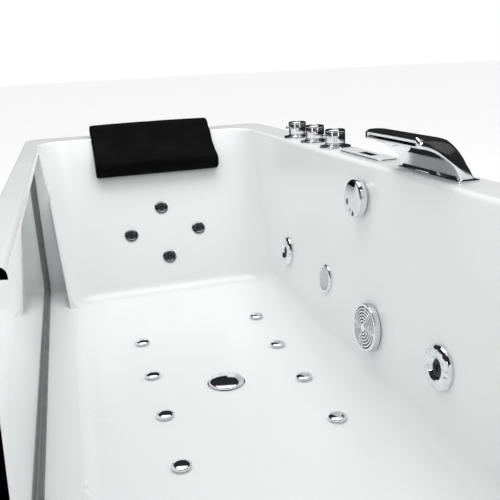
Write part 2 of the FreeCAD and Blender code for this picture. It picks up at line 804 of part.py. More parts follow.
# Waste with its rising plug, and the overflow whose knob works it through a cable
def waste():
    z = floor_z
    low = z - waste_depth
    bore_r = waste_bore_r - 4
    outer = spin([(0, low), (waste_bore_r, low), (waste_bore_r, z), (waste_flange_r, z),
                  (waste_flange_r, z + 2), (0, z + 2)])
    body = outer.cut(rod(bore_r, waste_depth + 10, V(0, 0, low - 5)))
    port = rod(overflow_pipe_r + 3, 12, V(0, bore_r, waste_side_z), V(0, 1, 0))
    body = body.fuse(port).cut(rod(bore_r, waste_depth, V(0, 0, low)))
    hub = rod(9, 6, V(0, 0, z - 30))
    reach = bore_r + 2
    arms = [box(-reach, reach, -2, 2, z - 30, z - 24), box(-2, 2, -reach, reach, z - 30, z - 24)]
    spider = join([hub] + arms).cut(rod(plug_stem_r + run_clear, 10, V(0, 0, z - 32)))
    shift = cable_x - drain_x
    boss = rod(6, 20, V(shift, 0, waste_side_z), V(0, 1, 0))
    bridge = box(shift, 3 - waste_bore_r, 2, 12, waste_side_z - 5, waste_side_z + 5)
    body = join([body, spider, boss, bridge])
    body.translate(V(drain_x, 0, 0))
    nodes["waste_body"] = body
    cap_z = z + 2 + run_clear
    cap = [rod(plug_r, 3, V(0, 0, cap_z)), dome(plug_r, plug_rise, cap_z + 3),
           rod(plug_stem_r, plug_stem + 2, V(0, 0, cap_z - plug_stem))]
    plug = join(cap)
    plug.translate(V(drain_x, 0, 0))
    nodes["popup_plug"] = plug
    trap_top = low
    trap_low = floor_z - trap_clear
    outlet_z = trap_low + trap_outlet_rise
    inside_r = trap_r - trap_wall
    outlet = rod(waste_outlet_r, trap_outlet_length, V(0, 0, outlet_z), V(0, -1, 0))
    collar = rod(trap_collar_r, trap_outlet_length - trap_socket_length, V(0, 0, outlet_z), V(0, -1, 0))
    trap = join([rod(trap_r, trap_top - trap_low, V(0, 0, trap_low)), outlet, collar])
    trap = trap.cut(rod(inside_r, trap_top - trap_low - 2 * trap_wall, V(0, 0, trap_low + trap_wall)))
    trap = trap.cut(rod(waste_outlet_r - 2.5, trap_outlet_length + 1, V(0, 0, outlet_z), V(0, -1, 0)))
    trap = trap.cut(rod(bore_r, 2 * trap_wall, V(0, 0, trap_top - trap_wall - 1)))
    trap.translate(V(drain_x, 0, 0))
    nodes["drain_trap"] = trap


def overflow():
    back_r = overflow_back_r
    body = spin([(0, -34), (back_r, -34), (back_r, -8), (overflow_neck_r, -6), (overflow_neck_r, 0), (31, 0),
                 (31, 2), (15, 2), (15, -10), (6 + run_clear, -10), (6 + run_clear, -26), (0, -26)])
    knob = spin([(0, 2.6), (31, 2.6), (31, 5.6), (overflow_r, 5.6), (overflow_r, overflow_depth - 2),
                 (overflow_r - 2, overflow_depth), (0, overflow_depth)])
    knob = join([knob, rod(6, 30, V(0, 0, -24))])
    for angle in overflow_marks:
        mark_x = overflow_mark_r * math.cos(math.radians(angle))
        mark_y = overflow_mark_r * math.sin(math.radians(angle))
        knob = knob.cut(box(mark_x - 1.5, mark_x + 1.5, mark_y - 3.5, mark_y + 3.5, overflow_depth - 2,
                            overflow_depth + 1))
    nodes["overflow_knob"] = on_tap_wall(knob, overflow_x, overflow_drop)
    base = on_tap_wall(body, overflow_x, overflow_drop)
    low_drop = top - waste_side_z
    start = V(overflow_x, tap_wall_point(overflow_drop) + overflow_pipe_out, top - overflow_drop - 12)
    knee = V(drain_x, tap_wall_point(low_drop) + overflow_pipe_out, waste_side_z)
    goal = V(drain_x, waste_bore_r + 4, waste_side_z)
    run = pipe([start, knee, goal], overflow_pipe_r, 30.0)
    bore = pipe([start, knee, goal], overflow_pipe_r - pipe_wall, 30.0)
    solid_base = on_tap_wall(rod(back_r, 26, V(0, 0, -34)), overflow_x, overflow_drop)
    waste_side = rod(waste_bore_r, 60, V(drain_x, 0, waste_side_z - 30))
    port = rod(overflow_pipe_r + 3, 12, V(drain_x, waste_bore_r - 4, waste_side_z), V(0, 1, 0))
    shift = V(cable_x - drain_x, 0, 0)
    ear_x = overflow_x + shift.x
    ear = box(ear_x - 6, overflow_x - 10, start.y - 6, start.y + 6, start.z - 8, start.z)
    nodes["overflow_body"] = join([base, ear])
    line = run.cut(solid_base).cut(waste_side).cut(port).cut(bore).cut(nodes["overflow_body"])
    nodes["overflow_pipe"] = biggest(line)
    cable = pipe([start + shift, knee + shift, goal + shift - V(0, 6, 0)], cable_r, 30.0)
    nodes["waste_cable"] = biggest(cable.cut(nodes["waste_body"]).cut(nodes["overflow_body"]))


def biggest(shape):
    return max(shape.Solids, key=lambda s: s.Volume)


# Three taps on the deck: hot, diverter and cold
def taps():
    names = ("hot_handle", "diverter_handle", "cold_handle")
    base_z = top + rosette_h + run_clear
    rosettes = []
    valves = []
    for name, x in zip(names, tap_places()):
        grip = spin([(0, 0), (tap_r - 1, 0), (tap_r, 1), (tap_r, tap_height - rosette_h - 3),
                     (tap_r - 2, tap_height - rosette_h - 1), (tap_r - 4, tap_height - rosette_h),
                     (0, tap_height - rosette_h)])
        handle = join([grip, rod(stem_r, stem_length + 2, V(0, 0, -stem_length))])
        if name != "diverter_handle":
            pin = join([rod(2.5, 7, V(0, -tap_r + 1, tap_height / 2), V(0, -1, 0)),
                        rod(4.5, 2.5, V(0, -tap_r - 5, tap_height / 2), V(0, -1, 0))])
            handle = join([handle, pin])
        handle.translate(V(x, tap_line, base_z))
        nodes[name] = handle
        rosette = spin([(stem_r + 0.6, 0), (rosette_r, 0), (rosette_r, 2), (rosette_r - 4, 4.5),
                        (rosette_r - 9, rosette_h), (stem_r + 0.6, rosette_h)])
        rosette.translate(V(x, tap_line, top))
        rosettes.append(rosette)
        valve = spin([(0, top - valve_drop), (valve_body_r, top - valve_drop), (valve_body_r, slab_under),
                      (valve_neck_r, slab_under), (valve_neck_r, top), (stem_r + run_clear, top),
                      (stem_r + run_clear, top - 28), (0, top - 28)])
        valve.translate(V(x, tap_line, 0))
        if name != "diverter_handle":
            tail = rod(inlet_r, inlet_length, V(x, tap_line, top - valve_drop - inlet_length))
            valve = join([valve, tail])
        valves.append(valve)
    nodes["tap_rosettes"] = rosettes
    nodes["valve_bodies"] = valves


# Arched sheet waterfall spout: profile points are (distance in from the tap side's deck, height)
def spout_outline(x):
    """The blade in end view, its lip reaching over the basin."""
    root_y = half_w - spout_foot_in
    def at(dy, dz):
        return V(x, root_y + dy, top + dz)
    return [Part.Arc(at(0, 0), at(-12, 30), at(-42, 62)).toShape(),
            Part.Arc(at(-42, 62), at(-66, 68.5), at(-92, 69)).toShape(),
            Part.LineSegment(at(-92, 69), at(-92, 54)).toShape(),
            Part.Arc(at(-92, 54), at(-62, 44), at(-36, 24)).toShape(),
            Part.Arc(at(-36, 24), at(-28, 12), at(-24, 0)).toShape(),
            Part.LineSegment(at(-24, 0), at(0, 0)).toShape()]


def spout():
    blade = Part.Face(Part.Wire(spout_outline(spout_x0))).extrude(V(spout_x1 - spout_x0, 0, 0))
    lip_y = half_w - spout_foot_in - 92
    slot = box(spout_x0 + 10, spout_x1 - 10, lip_y - 2, lip_y + 22, top + 57.5, top + 60.5)
    blade = blade.cut(slot)
    foot_y = half_w - spout_foot_in
    root = box(spout_x0 - 4, spout_x1 + 4, foot_y - 30, foot_y + 6, top, top + 3)
    blade = join([blade, root])
    nodes["waterfall_spout"] = blade


def mixer():
    run_z = top - mixer_drop
    mixer_y = half_w - mixer_in
    end_x = spout_mid_x
    line = join([rod(mixer_r, end_x - tap_places()[0], V(tap_places()[0], mixer_y, run_z), V(1, 0, 0)),
                 rod(mixer_r, top - run_z, V(end_x, spout_root_y, run_z)),
                 Part.makeSphere(mixer_r, V(end_x, mixer_y, run_z)),
                 rod(mixer_r, spout_root_y - mixer_y, V(end_x, mixer_y, run_z), V(0, 1, 0)),
                 Part.makeSphere(mixer_r, V(end_x, spout_root_y, run_z)),
                 rod(spout_neck_r, rim_thickness, V(end_x, spout_root_y, slab_under)),
                 rod(16, 5, V(end_x, spout_root_y, slab_under - 5))])
    for valve in nodes["valve_bodies"]:
        line = line.cut(valve)
    return line


def control_panel():
    plate = box(-panel_length / 2, panel_length / 2, -panel_width / 2, panel_width / 2, 0, panel_height)
    plate = plate.makeFillet(panel_corner, [e for e in plate.Edges if e.BoundBox.ZLength > 1])
    plate = plate.makeFillet(1.5, [e for e in plate.Edges if e.BoundBox.ZMin > panel_height - 0.1])
    display = box(-display_length / 2, display_length / 2, display_shift - display_width / 2,
                  display_shift + display_width / 2, panel_height - 1.5, panel_height + 0.2)
    case = box(-control_half, control_half, -control_side, control_side, -control_depth, 0)
    plate = join([plate, case]).cut(display)
    for shape, name in ((plate, "control_panel"), (display, "control_display")):
        shape.translate(V(panel_x, panel_line, top))
        nodes[name] = shape


# Pump at the foot end, blower and control box under the backrest
def pump():
    y0, y1 = pump_y0, pump_y1
    casing = rod(pump_r, y1 - y0, V(0, y0, 0), V(0, 1, 0))
    outlet_h = pump_outlet_z - pump_z
    outlet = rod(water_r + 4, outlet_h - 20, V(0, (y0 + y1) / 2, 20))
    inlet = rod(suction_pipe_r + 4, 16, V(0, y1 - 2, 0), V(0, 1, 0))
    casing = join([casing, outlet, inlet, box(-36, 36, y0, y1, post_z - pump_z, -30)])
    casing = casing.cut(rod(pump_r - 5, y1 - y0 - 12, V(0, y0 + 8, 0), V(0, 1, 0)))
    casing = casing.cut(rod(suction_pipe_r - pipe_wall, 30, V(0, y1 - 10, 0), V(0, 1, 0)))
    casing = casing.cut(rod(water_r - pipe_wall, 60, V(0, (y0 + y1) / 2, 20)))
    casing = casing.cut(rod(shaft_r + run_clear, 30, V(0, y0 - 5, 0), V(0, 1, 0)))
    motor = rod(motor_r, motor_length, V(0, y0 - motor_length, 0), V(0, 1, 0))
    ribs = [rod(motor_r + 3, 5, V(0, y0 - 150 + i * 16, 0), V(0, 1, 0)) for i in range(8)]
    motor = join([motor] + ribs + [box(-35, 35, y0 - 150, y0 - 20, post_z - pump_z, -35)])
    motor = motor.cut(rod(shaft_r + run_clear, 40, V(0, y0 - 39, 0), V(0, 1, 0)))
    wheel_r = pump_r - 10
    wheel = rod(wheel_r, 5, V(0, y0 + 12, 0), V(0, 1, 0))
    blades = []
    for i in range(6):
        blade = box(12, wheel_r, y0 + 16, y0 + 38, -2, 2)
        blade.rotate(V(0, 0, 0), V(0, 1, 0), 60 * i)
        blades.append(blade)
    wheel = join([wheel, rod(14, 26, V(0, y0 + 12, 0), V(0, 1, 0))] + blades
                 + [rod(shaft_r, 50, V(0, y0 - 36, 0), V(0, 1, 0))])
    for shape, name in ((casing, "pump_casing"), (motor, "pump_motor"), (wheel, "pump_impeller")):
        shape.translate(V(pump_x, 0, pump_z))
        nodes[name] = shape


def blower():
    z0 = post_z
    housing = rod(blower_r, 84, V(0, 0, 0))
    outlet = rod(air_r + 4, 24, V(blower_r - 6, 0, air_z - z0), V(1, 0, 0))
    lid = rod(40, 14, V(0, 0, 84))
    housing = join([housing, outlet, lid])
    housing = housing.cut(rod(blower_r - 4, 60, V(0, 0, 6)))
    housing = housing.cut(rod(air_r - pipe_wall, 50, V(blower_r - 12, 0, air_z - z0), V(1, 0, 0)))
    housing = housing.cut(rod(22, 40, V(0, 0, 60)))
    housing = housing.cut(rod(5 + run_clear, 6, V(0, 0, 2)))
    fan = join([rod(60, 3, V(0, 0, 8)), rod(12, 40, V(0, 0, 8)), rod(5, 8, V(0, 0, 2 + run_clear))])
    for i in range(12):
        vane = box(38, 60, -1, 1, 10, 48)
        vane.rotate(V(0, 0, 0), V(0, 0, 1), 30 * i)
        fan = fan.fuse(vane)
    for shape, name in ((housing, "blower_housing"), (fan, "blower_fan")):
        shape.translate(V(blower_x, left_row_y, z0))
        nodes[name] = shape


def control_box():
    x0 = -half_l + box_inset
    y1 = half_w - box_tap_in
    case = box(x0, x0 + box_length, y1 - box_width, y1, post_z, post_z + box_height)
    case = case.makeFillet(6, [e for e in case.Edges if e.BoundBox.ZLength > box_height / 2])
    gland_place = V(x0 + box_length / 2 + 4, y1, post_z + gland_height)
    gland = rod(gland_r, gland_length, gland_place, V(0, 1, 0))
    bore = rod(gland_bore, gland_length + 6, gland_place - V(0, 6, 0), V(0, 1, 0))
    nodes["control_box"] = join([case, gland]).cut(bore)


# Water: suction fitting to pump, pump to side jets and back jets
def water_pipes():
    lean = math.atan(backrest_slope)
    middle, low = back_jet_drops[1:]
    cross_x = head_x + backrest_slope * middle - back_line * math.cos(lean)
    cross_h = top - middle - back_line * math.sin(lean)
    pump_mid = (pump_y0 + pump_y1) / 2
    hump_z = header_z + header_hump
    header = [V(pump_x, pump_mid, pump_outlet_z), V(pump_x, pump_mid, hump_z), V(pump_x, header_y, hump_z),
              V(pump_x - 90, header_y, header_z), V(cross_x, header_y, header_z),
              V(cross_x, header_y, cross_h), V(cross_x, back_jet_centre - back_jet_spread - 12, cross_h)]
    along = V(math.sin(lean), 0, -math.cos(lean))
    reach = (low - middle) * math.hypot(1, backrest_slope) + 12
    centre = V(cross_x, back_jet_centre, cross_h)
    ladder = [centre - along * reach, centre + along * reach]
    pressure = hollow_pipes([(header, water_r), (ladder, ladder_r)], pipe_wall, 26.0)
    suction_y = tap_wall_point(suction_drop) + 22
    inlet = [V(suction_x, suction_y, top - suction_drop - 12), V(suction_x, suction_y, pump_z),
             V(pump_x, suction_y, pump_z), V(pump_x, pump_y1 + 16, pump_z)]
    draw = hollow_pipes([(inlet, suction_pipe_r)], pipe_wall, 30.0)
    draw = biggest(draw.cut(on_tap_wall(suction_form(), suction_x, suction_drop)))
    pressure = biggest(cut_all(pressure, ["side_jet_bodies", "back_jet_bodies", "pump_casing"]))
    return [pressure, draw]


def cut_all(shape, names):
    for name in names:
        tools = nodes[name] if isinstance(nodes[name], list) else [nodes[name]]
        for tool in tools:
            if shape.distToShape(tool)[0] < 0.001:
                shape = shape.cut(tool)
    return shape


def air_pipes():
    row_length = (floor_jet_count - 1) * floor_jet_pitch + 16
    end_x = right_row_x + row_length
    left_end_x = left_row_x + row_length
    start = blower_x + blower_r + 18
    left = [V(start, left_row_y, air_z), V(left_end_x, left_row_y, air_z)]
    right = [V(air_link_x, left_row_y, air_z), V(air_link_x, right_row_y, air_z),
             V(end_x, right_row_y, air_z)]
    line = hollow_pipes([(left, air_r), (right, air_link_r)], pipe_wall, 22.0)
    return biggest(cut_all(line, ["floor_jet_bodies", "drain_trap"]))


nodes["tub_shell"] = tub_shell()
window()
frame()
feet()
panels()
headrest()
back_jets()
side_jets()
light()
suction()
floor_jets()
waste()
overflow()
taps()
spout()
control_panel()
pump()
blower()
control_box()
nodes["mixer_pipe"] = mixer()
nodes["water_pipes"] = water_pipes()
nodes["air_pipes"] = air_pipes()

for name, shape in nodes.items():
    solid = Part.makeCompound(shape) if isinstance(shape, list) else shape
    good = all(s.isValid() and s.isClosed() for s in solid.Solids)
    print("%-22s solids %2d valid %s volume %.0f" % (name, len(solid.Solids), good, solid.Volume))
    solid.exportStep("parts/%s.step" % name)
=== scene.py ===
import math
import bmesh
import bpy
from mathutils import Matrix, Vector, noise


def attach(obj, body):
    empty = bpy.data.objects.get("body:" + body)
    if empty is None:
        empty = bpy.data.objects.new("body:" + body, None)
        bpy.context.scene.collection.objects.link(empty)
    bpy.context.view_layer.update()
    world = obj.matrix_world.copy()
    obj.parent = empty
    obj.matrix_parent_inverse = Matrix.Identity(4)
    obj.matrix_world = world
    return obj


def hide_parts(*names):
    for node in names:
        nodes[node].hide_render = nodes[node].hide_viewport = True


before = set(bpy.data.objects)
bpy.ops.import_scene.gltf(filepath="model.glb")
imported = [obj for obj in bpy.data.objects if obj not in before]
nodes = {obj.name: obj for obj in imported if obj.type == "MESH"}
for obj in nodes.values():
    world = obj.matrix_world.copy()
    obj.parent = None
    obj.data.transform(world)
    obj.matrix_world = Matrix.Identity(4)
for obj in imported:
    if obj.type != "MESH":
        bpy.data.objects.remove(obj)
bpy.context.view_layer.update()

# Studio: the camera stands past the foot end, a little to the glass side, and looks down into
# the basin. Its near limit leaves out the rim and wall of the foot end, which would hide the
# basin floor. The light is a broad soft lamp overhead, two strip lamps and a white room.
sensor_width = 36.0
picture_width = 500.0
focal_pixels = 649.0
near_limit = 0.64
camera_place = (1.1548, -0.2375, 0.7593)
camera = bpy.data.objects.new("camera", bpy.data.cameras.new("camera"))
bpy.context.collection.objects.link(camera)
camera.data.sensor_width = sensor_width
camera.data.lens = sensor_width * focal_pixels / picture_width
to_right = Vector((0.27504, 0.96013, -0.05013))
to_top = Vector((-0.25157, 0.12220, 0.96009))
turn = Matrix((to_right, to_top, to_right.cross(to_top))).transposed()
camera.matrix_world = Matrix.Translation(camera_place) @ turn.to_4x4()
camera.data.clip_start = near_limit
bpy.context.scene.camera = camera
bpy.context.scene.view_settings.view_transform = "Standard"


def studio_light(name, place, aim, size_x, size_y, watts):
    """A rectangular lamp at place that points to aim. Only what it lights is seen."""
    lamp = bpy.data.lights.new(name, "AREA")
    lamp.shape = "RECTANGLE"
    lamp.size = size_x
    lamp.size_y = size_y
    lamp.energy = watts
    holder = bpy.data.objects.new(name, lamp)
    bpy.context.collection.objects.link(holder)
    holder.visible_camera = False
    holder.visible_transmission = False
    way = (Vector(aim) - Vector(place)).to_track_quat("-Z", "Y")
    holder.matrix_world = Matrix.Translation(place) @ way.to_matrix().to_4x4()


studio_light("overhead", (-0.5, 0.1, 2.6), (-0.1, 0.0, 0.3), 1.9, 1.5, 25.0)
studio_light("strip_left", (1.5, -2.1, 1.0), (-0.2, 0.2, 0.6), 0.22, 1.8, 4.5)
studio_light("strip_right", (2.6, 1.0, 1.2), (-0.1, 0.3, 0.6), 0.22, 1.6, 4.5)


def tilted_sky(tree, axis, stops):
    """A background whose grey goes by how far the direction leans towards axis."""
    coord = tree.nodes.new("ShaderNodeTexCoord")
    lean = tree.nodes.new("ShaderNodeVectorMath")
    lean.operation = "DOT_PRODUCT"
    lean.inputs[1].default_value = Vector(axis).normalized()
    ramp = tree.nodes.new("ShaderNodeValToRGB")
    ramp.color_ramp.elements[0].position = stops[0][0]
    ramp.color_ramp.elements[0].color = (*[stops[0][1]] * 3, 1.0)
    ramp.color_ramp.elements[1].position = stops[-1][0]
    ramp.color_ramp.elements[1].color = (*[stops[-1][1]] * 3, 1.0)
    for place, grey in stops[1:-1]:
        stop = ramp.color_ramp.elements.new(place)
        stop.color = (grey, grey, grey, 1.0)
    shade = tree.nodes.new("ShaderNodeBackground")
    tree.links.new(coord.outputs["Generated"], lean.inputs[0])
    tree.links.new(lean.outputs["Value"], ramp.inputs["Fac"])
    tree.links.new(ramp.outputs["Color"], shade.inputs["Color"])
    return shade


def ray_kinds(tree):
    """Two masks: rays mirrored by a surface, and rays seen straight or through glass."""
    path = tree.nodes.new("ShaderNodeLightPath")
    mirrored = tree.nodes.new("ShaderNodeMath")
    mirrored.operation = "SUBTRACT"
    straight = tree.nodes.new("ShaderNodeMath")
    straight.operation = "ADD"
    mirrored.use_clamp = straight.use_clamp = True
    tree.links.new(path.outputs["Is Glossy Ray"], mirrored.inputs[0])
    tree.links.new(path.outputs["Is Transmission Ray"], mirrored.inputs[1])
    tree.links.new(path.outputs["Is Camera Ray"], straight.inputs[0])
    tree.links.new(path.outputs["Is Transmission Ray"], straight.inputs[1])
    return mirrored.outputs[0], straight.outputs[0]


# Plain white all round. Polished metal mirrors a dark room with a bright ceiling.
room_light = 0.93
ceiling_way = (-0.2, 0.0, 0.98)
room_greys = ((0.0, 0.10), (0.10, 0.02), (0.87, 0.03), (0.90, 0.5), (0.94, 1.0))
sky = bpy.data.worlds.new("studio")
bpy.context.scene.world = sky
sky.use_nodes = True
tree = sky.node_tree
tree.nodes.clear()
out = tree.nodes.new("ShaderNodeOutputWorld")
first_mix = tree.nodes.new("ShaderNodeMixShader")
second_mix = tree.nodes.new("ShaderNodeMixShader")
mirrored, straight = ray_kinds(tree)
white = tree.nodes.new("ShaderNodeBackground")
white.inputs["Color"].default_value = (1.0, 1.0, 1.0, 1.0)
soft = tree.nodes.new("ShaderNodeBackground")
soft.inputs["Color"].default_value = (1.0, 1.0, 1.0, 1.0)
soft.inputs["Strength"].default_value = room_light
dark_room = tilted_sky(tree, ceiling_way, room_greys)
tree.links.new(straight, first_mix.inputs["Fac"])
tree.links.new(second_mix.outputs[0], first_mix.inputs[1])
tree.links.new(white.outputs[0], first_mix.inputs[2])
tree.links.new(mirrored, second_mix.inputs["Fac"])
tree.links.new(soft.outputs[0], second_mix.inputs[1])
tree.links.new(dark_room.outputs[0], second_mix.inputs[2])
tree.links.new(first_mix.outputs[0], out.inputs["Surface"])


# Studio floor: one wide flat sheet in a matt pale paint. Far from the tub it glows a little, so
# that its edge can't be told from the white room, and polished metal mirrors it dark there.
def mesh_piece(name, verts, faces):
    """A mesh object from points in metres and faces."""
    data = bpy.data.meshes.new(name)
    data.from_pydata([tuple(v) for v in verts], [], faces)
    data.update()
    piece = bpy.data.objects.new(name, data)
    bpy.context.collection.objects.link(piece)
    return piece


floor_radius = 60.0
floor_corners = 90
floor_edge = []
for k in range(floor_corners):
    angle = 2 * math.pi * k / floor_corners
    floor_edge.append((floor_radius * math.cos(angle), floor_radius * math.sin(angle), 0))
ground = mesh_piece("studio_floor", floor_edge, [tuple(range(floor_corners))])


# Two node groups serve every finish. blotches gives slow uneven patches, and grain_height the
# fine relief of a moulded, cast or rubbed surface.
def group_socket(group, name, way, kind, value=None):
    """Adds an input or an output to a node group."""
    socket = group.interface.new_socket(name=name, in_out=way, socket_type=kind)
    if value is not None:
        socket.default_value = value
    return socket


def make_blotches():
    """Node group: a mask of soft patches, and a value that goes from low to high with it."""
    group = bpy.data.node_groups.new("blotches", "ShaderNodeTree")
    group_socket(group, "Scale", "INPUT", "NodeSocketFloat", 6.0)
    group_socket(group, "Low", "INPUT", "NodeSocketFloat", 0.2)
    group_socket(group, "High", "INPUT", "NodeSocketFloat", 0.3)
    group_socket(group, "Mask", "OUTPUT", "NodeSocketFloat")
    group_socket(group, "Value", "OUTPUT", "NodeSocketFloat")
    inside = group.nodes.new("NodeGroupInput")
    outside = group.nodes.new("NodeGroupOutput")
    where = group.nodes.new("ShaderNodeTexCoord")
    cloud = group.nodes.new("ShaderNodeTexNoise")
    cloud.inputs["Detail"].default_value = 4.0
    cloud.inputs["Roughness"].default_value = 0.6
    spread = group.nodes.new("ShaderNodeMapRange")
    spread.inputs["From Min"].default_value = 0.32
    spread.inputs["From Max"].default_value = 0.68
    level = group.nodes.new("ShaderNodeMapRange")
    link = group.links.new
    link(where.outputs["Object"], cloud.inputs["Vector"])
    link(inside.outputs["Scale"], cloud.inputs["Scale"])
    link(cloud.outputs["Fac"], spread.inputs["Value"])
    link(spread.outputs["Result"], outside.inputs["Mask"])
    link(spread.outputs["Result"], level.inputs["Value"])
    link(inside.outputs["Low"], level.inputs["To Min"])
    link(inside.outputs["High"], level.inputs["To Max"])
    link(level.outputs["Result"], outside.inputs["Value"])
    return group


def make_grain():
    """Node group: a height blended from a fine and a coarse noise."""
    group = bpy.data.node_groups.new("grain_height", "ShaderNodeTree")
    group_socket(group, "Fine", "INPUT", "NodeSocketFloat", 900.0)
    group_socket(group, "Coarse", "INPUT", "NodeSocketFloat", 40.0)
    group_socket(group, "Coarse Share", "INPUT", "NodeSocketFloat", 0.5)
    group_socket(group, "Height", "OUTPUT", "NodeSocketFloat")
    inside = group.nodes.new("NodeGroupInput")
    outside = group.nodes.new("NodeGroupOutput")
    where = group.nodes.new("ShaderNodeTexCoord")
    fine = group.nodes.new("ShaderNodeTexNoise")
    coarse = group.nodes.new("ShaderNodeTexNoise")
    coarse.inputs["Detail"].default_value = 1.0
    blend = group.nodes.new("ShaderNodeMix")
    link = group.links.new
    link(where.outputs["Object"], fine.inputs["Vector"])
    link(where.outputs["Object"], coarse.inputs["Vector"])
    link(inside.outputs["Fine"], fine.inputs["Scale"])
    link(inside.outputs["Coarse"], coarse.inputs["Scale"])
    link(inside.outputs["Coarse Share"], blend.inputs["Factor"])
    link(fine.outputs["Fac"], blend.inputs["A"])
    link(coarse.outputs["Fac"], blend.inputs["B"])
    link(blend.outputs["Result"], outside.inputs["Height"])
    return group


blotches = make_blotches()
grain_height = make_grain()


def finish(name, light, dark, rough, patch=6.0, fine=900.0, coarse=40.0, coarse_share=0.5,
           relief=0.1, depth=0.0004, **sockets):
    """A material whose colour and gloss vary in patches, with a fine relief."""
    material = bpy.data.materials.new(name)
    material.use_nodes = True
    tree = material.node_tree
    shader = tree.nodes["Principled BSDF"]
    patches = tree.nodes.new("ShaderNodeGroup")
    patches.node_tree = blotches
    patches.inputs["Scale"].default_value = patch
    patches.inputs["Low"].default_value = rough[0]
    patches.inputs["High"].default_value = rough[1]
    colour = tree.nodes.new("ShaderNodeMix")
    colour.name = "colour"
    colour.data_type = "RGBA"
    colour.inputs["A"].default_value = (*light, 1.0)
    colour.inputs["B"].default_value = (*dark, 1.0)
    grain = tree.nodes.new("ShaderNodeGroup")
    grain.name = "grain"
    grain.node_tree = grain_height
    grain.inputs["Fine"].default_value = fine
    grain.inputs["Coarse"].default_value = coarse
    grain.inputs["Coarse Share"].default_value = coarse_share
    bump = tree.nodes.new("ShaderNodeBump")
    bump.name = "bump"
    bump.inputs["Strength"].default_value = relief
    bump.inputs["Distance"].default_value = depth
    tree.links.new(patches.outputs["Mask"], colour.inputs["Factor"])
    tree.links.new(colour.outputs["Result"], shader.inputs["Base Color"])
    tree.links.new(patches.outputs["Value"], shader.inputs["Roughness"])
    tree.links.new(grain.outputs["Height"], bump.inputs["Height"])
    tree.links.new(bump.outputs["Normal"], shader.inputs["Normal"])
    for key, value in sockets.items():
        shader.inputs[key.replace("_", " ")].default_value = value
    return material


def dress(node, material):
    """Gives a node that stays in view its material."""
    nodes[node].data.materials.clear()
    nodes[node].data.materials.append(material)


glow_start = 1.3
glow_full = 4.0
far_glow = 0.16
mirrored_grey = 0.02
floor_paint = finish("studio_floor_paint", (0.93, 0.93, 0.93), (0.91, 0.91, 0.91), (0.6, 0.7),
                     patch=0.7, Emission_Strength=1.0, Specular_IOR_Level=0.2)
ground.data.materials.append(floor_paint)
tree = floor_paint.node_tree
where = tree.nodes.new("ShaderNodeTexCoord")
away = tree.nodes.new("ShaderNodeVectorMath")
away.operation = "LENGTH"
far = tree.nodes.new("ShaderNodeMapRange")
far.interpolation_type = "SMOOTHSTEP"
far.inputs["From Min"].default_value = glow_start
far.inputs["From Max"].default_value = glow_full
dark = tree.nodes.new("ShaderNodeMath")
dark.operation = "MULTIPLY"
paint = tree.nodes.new("ShaderNodeMix")
paint.data_type = "RGBA"
paint.inputs["B"].default_value = (mirrored_grey, mirrored_grey, mirrored_grey, 1.0)
glow = tree.nodes.new("ShaderNodeMath")
glow.operation = "SUBTRACT"
glow_colour = tree.nodes.new("ShaderNodeMix")
glow_colour.data_type = "RGBA"
glow_colour.inputs["A"].default_value = (0.0, 0.0, 0.0, 1.0)
glow_colour.inputs["B"].default_value = (far_glow, far_glow, far_glow, 1.0)
link = tree.links.new
link(where.outputs["Object"], away.inputs[0])
link(away.outputs["Value"], far.inputs["Value"])
link(far.outputs["Result"], dark.inputs[0])
link(ray_kinds(tree)[0], dark.inputs[1])
link(dark.outputs[0], paint.inputs["Factor"])
link(tree.nodes["colour"].outputs["Result"], paint.inputs["A"])
link(paint.outputs["Result"], tree.nodes["Principled BSDF"].inputs["Base Color"])
link(far.outputs["Result"], glow.inputs[0])
link(dark.outputs[0], glow.inputs[1])
link(glow.outputs[0], glow_colour.inputs["Factor"])
link(glow_colour.outputs["Result"], tree.nodes["Principled BSDF"].inputs["Emission Color"])

# Tub shell: a sheet of white acrylic, vacuum formed over a mould and trimmed at the lip.
# Gloss white with the faint waviness of formed sheet.
acrylic = finish("white_acrylic", (0.83, 0.835, 0.835), (0.81, 0.815, 0.82), (0.2, 0.28),
                 patch=2.5, fine=260.0, coarse=9.0, coarse_share=0.8, relief=0.12, depth=0.0006,
                 Specular_IOR_Level=0.45)
dress("tub_shell", acrylic)


# Window: a laminated pane bedded in a grey rubber gasket, clamped from outside by a brushed
# steel frame.
def add_texture(material, kind, output, node, socket, scale, stretch=None):
    """Feeds one socket of a material from a texture in object coordinates."""
    tree = material.node_tree
    where = tree.nodes.new("ShaderNodeTexCoord")
    texture = tree.nodes.new(kind)
    texture.inputs["Scale"].default_value = scale
    point = where.outputs["Object"]
    if stretch:
        mapping = tree.nodes.new("ShaderNodeMapping")
        mapping.inputs["Scale"].default_value = stretch
        tree.links.new(point, mapping.inputs["Vector"])
        point = mapping.outputs["Vector"]
    tree.links.new(point, texture.inputs["Vector"])
    tree.links.new(texture.outputs[output], tree.nodes[node].inputs[socket])
    return texture


glass = finish("clear_glass", (0.93, 0.97, 0.96), (0.90, 0.95, 0.94), (0.0, 0.03), patch=3.0,
               coarse=3.0, coarse_share=0.95, relief=0.02, Transmission_Weight=1.0, IOR=1.46,
               Specular_IOR_Level=0.25)
dress("glass_window", glass)
rubber = finish("grey_rubber", (0.22, 0.225, 0.225), (0.17, 0.175, 0.175), (0.5, 0.62), patch=30.0,
                fine=1800.0, relief=0.25)
dress("window_gasket", rubber)
brushed = finish("brushed_steel", (0.78, 0.79, 0.79), (0.70, 0.71, 0.72), (0.32, 0.44), patch=14.0,
                 Metallic=0.55, relief=0.2)
add_texture(brushed, "ShaderNodeTexNoise", "Fac", "bump", "Height", 1.0, (12.0, 900.0, 900.0))
dress("window_retainer", brushed)

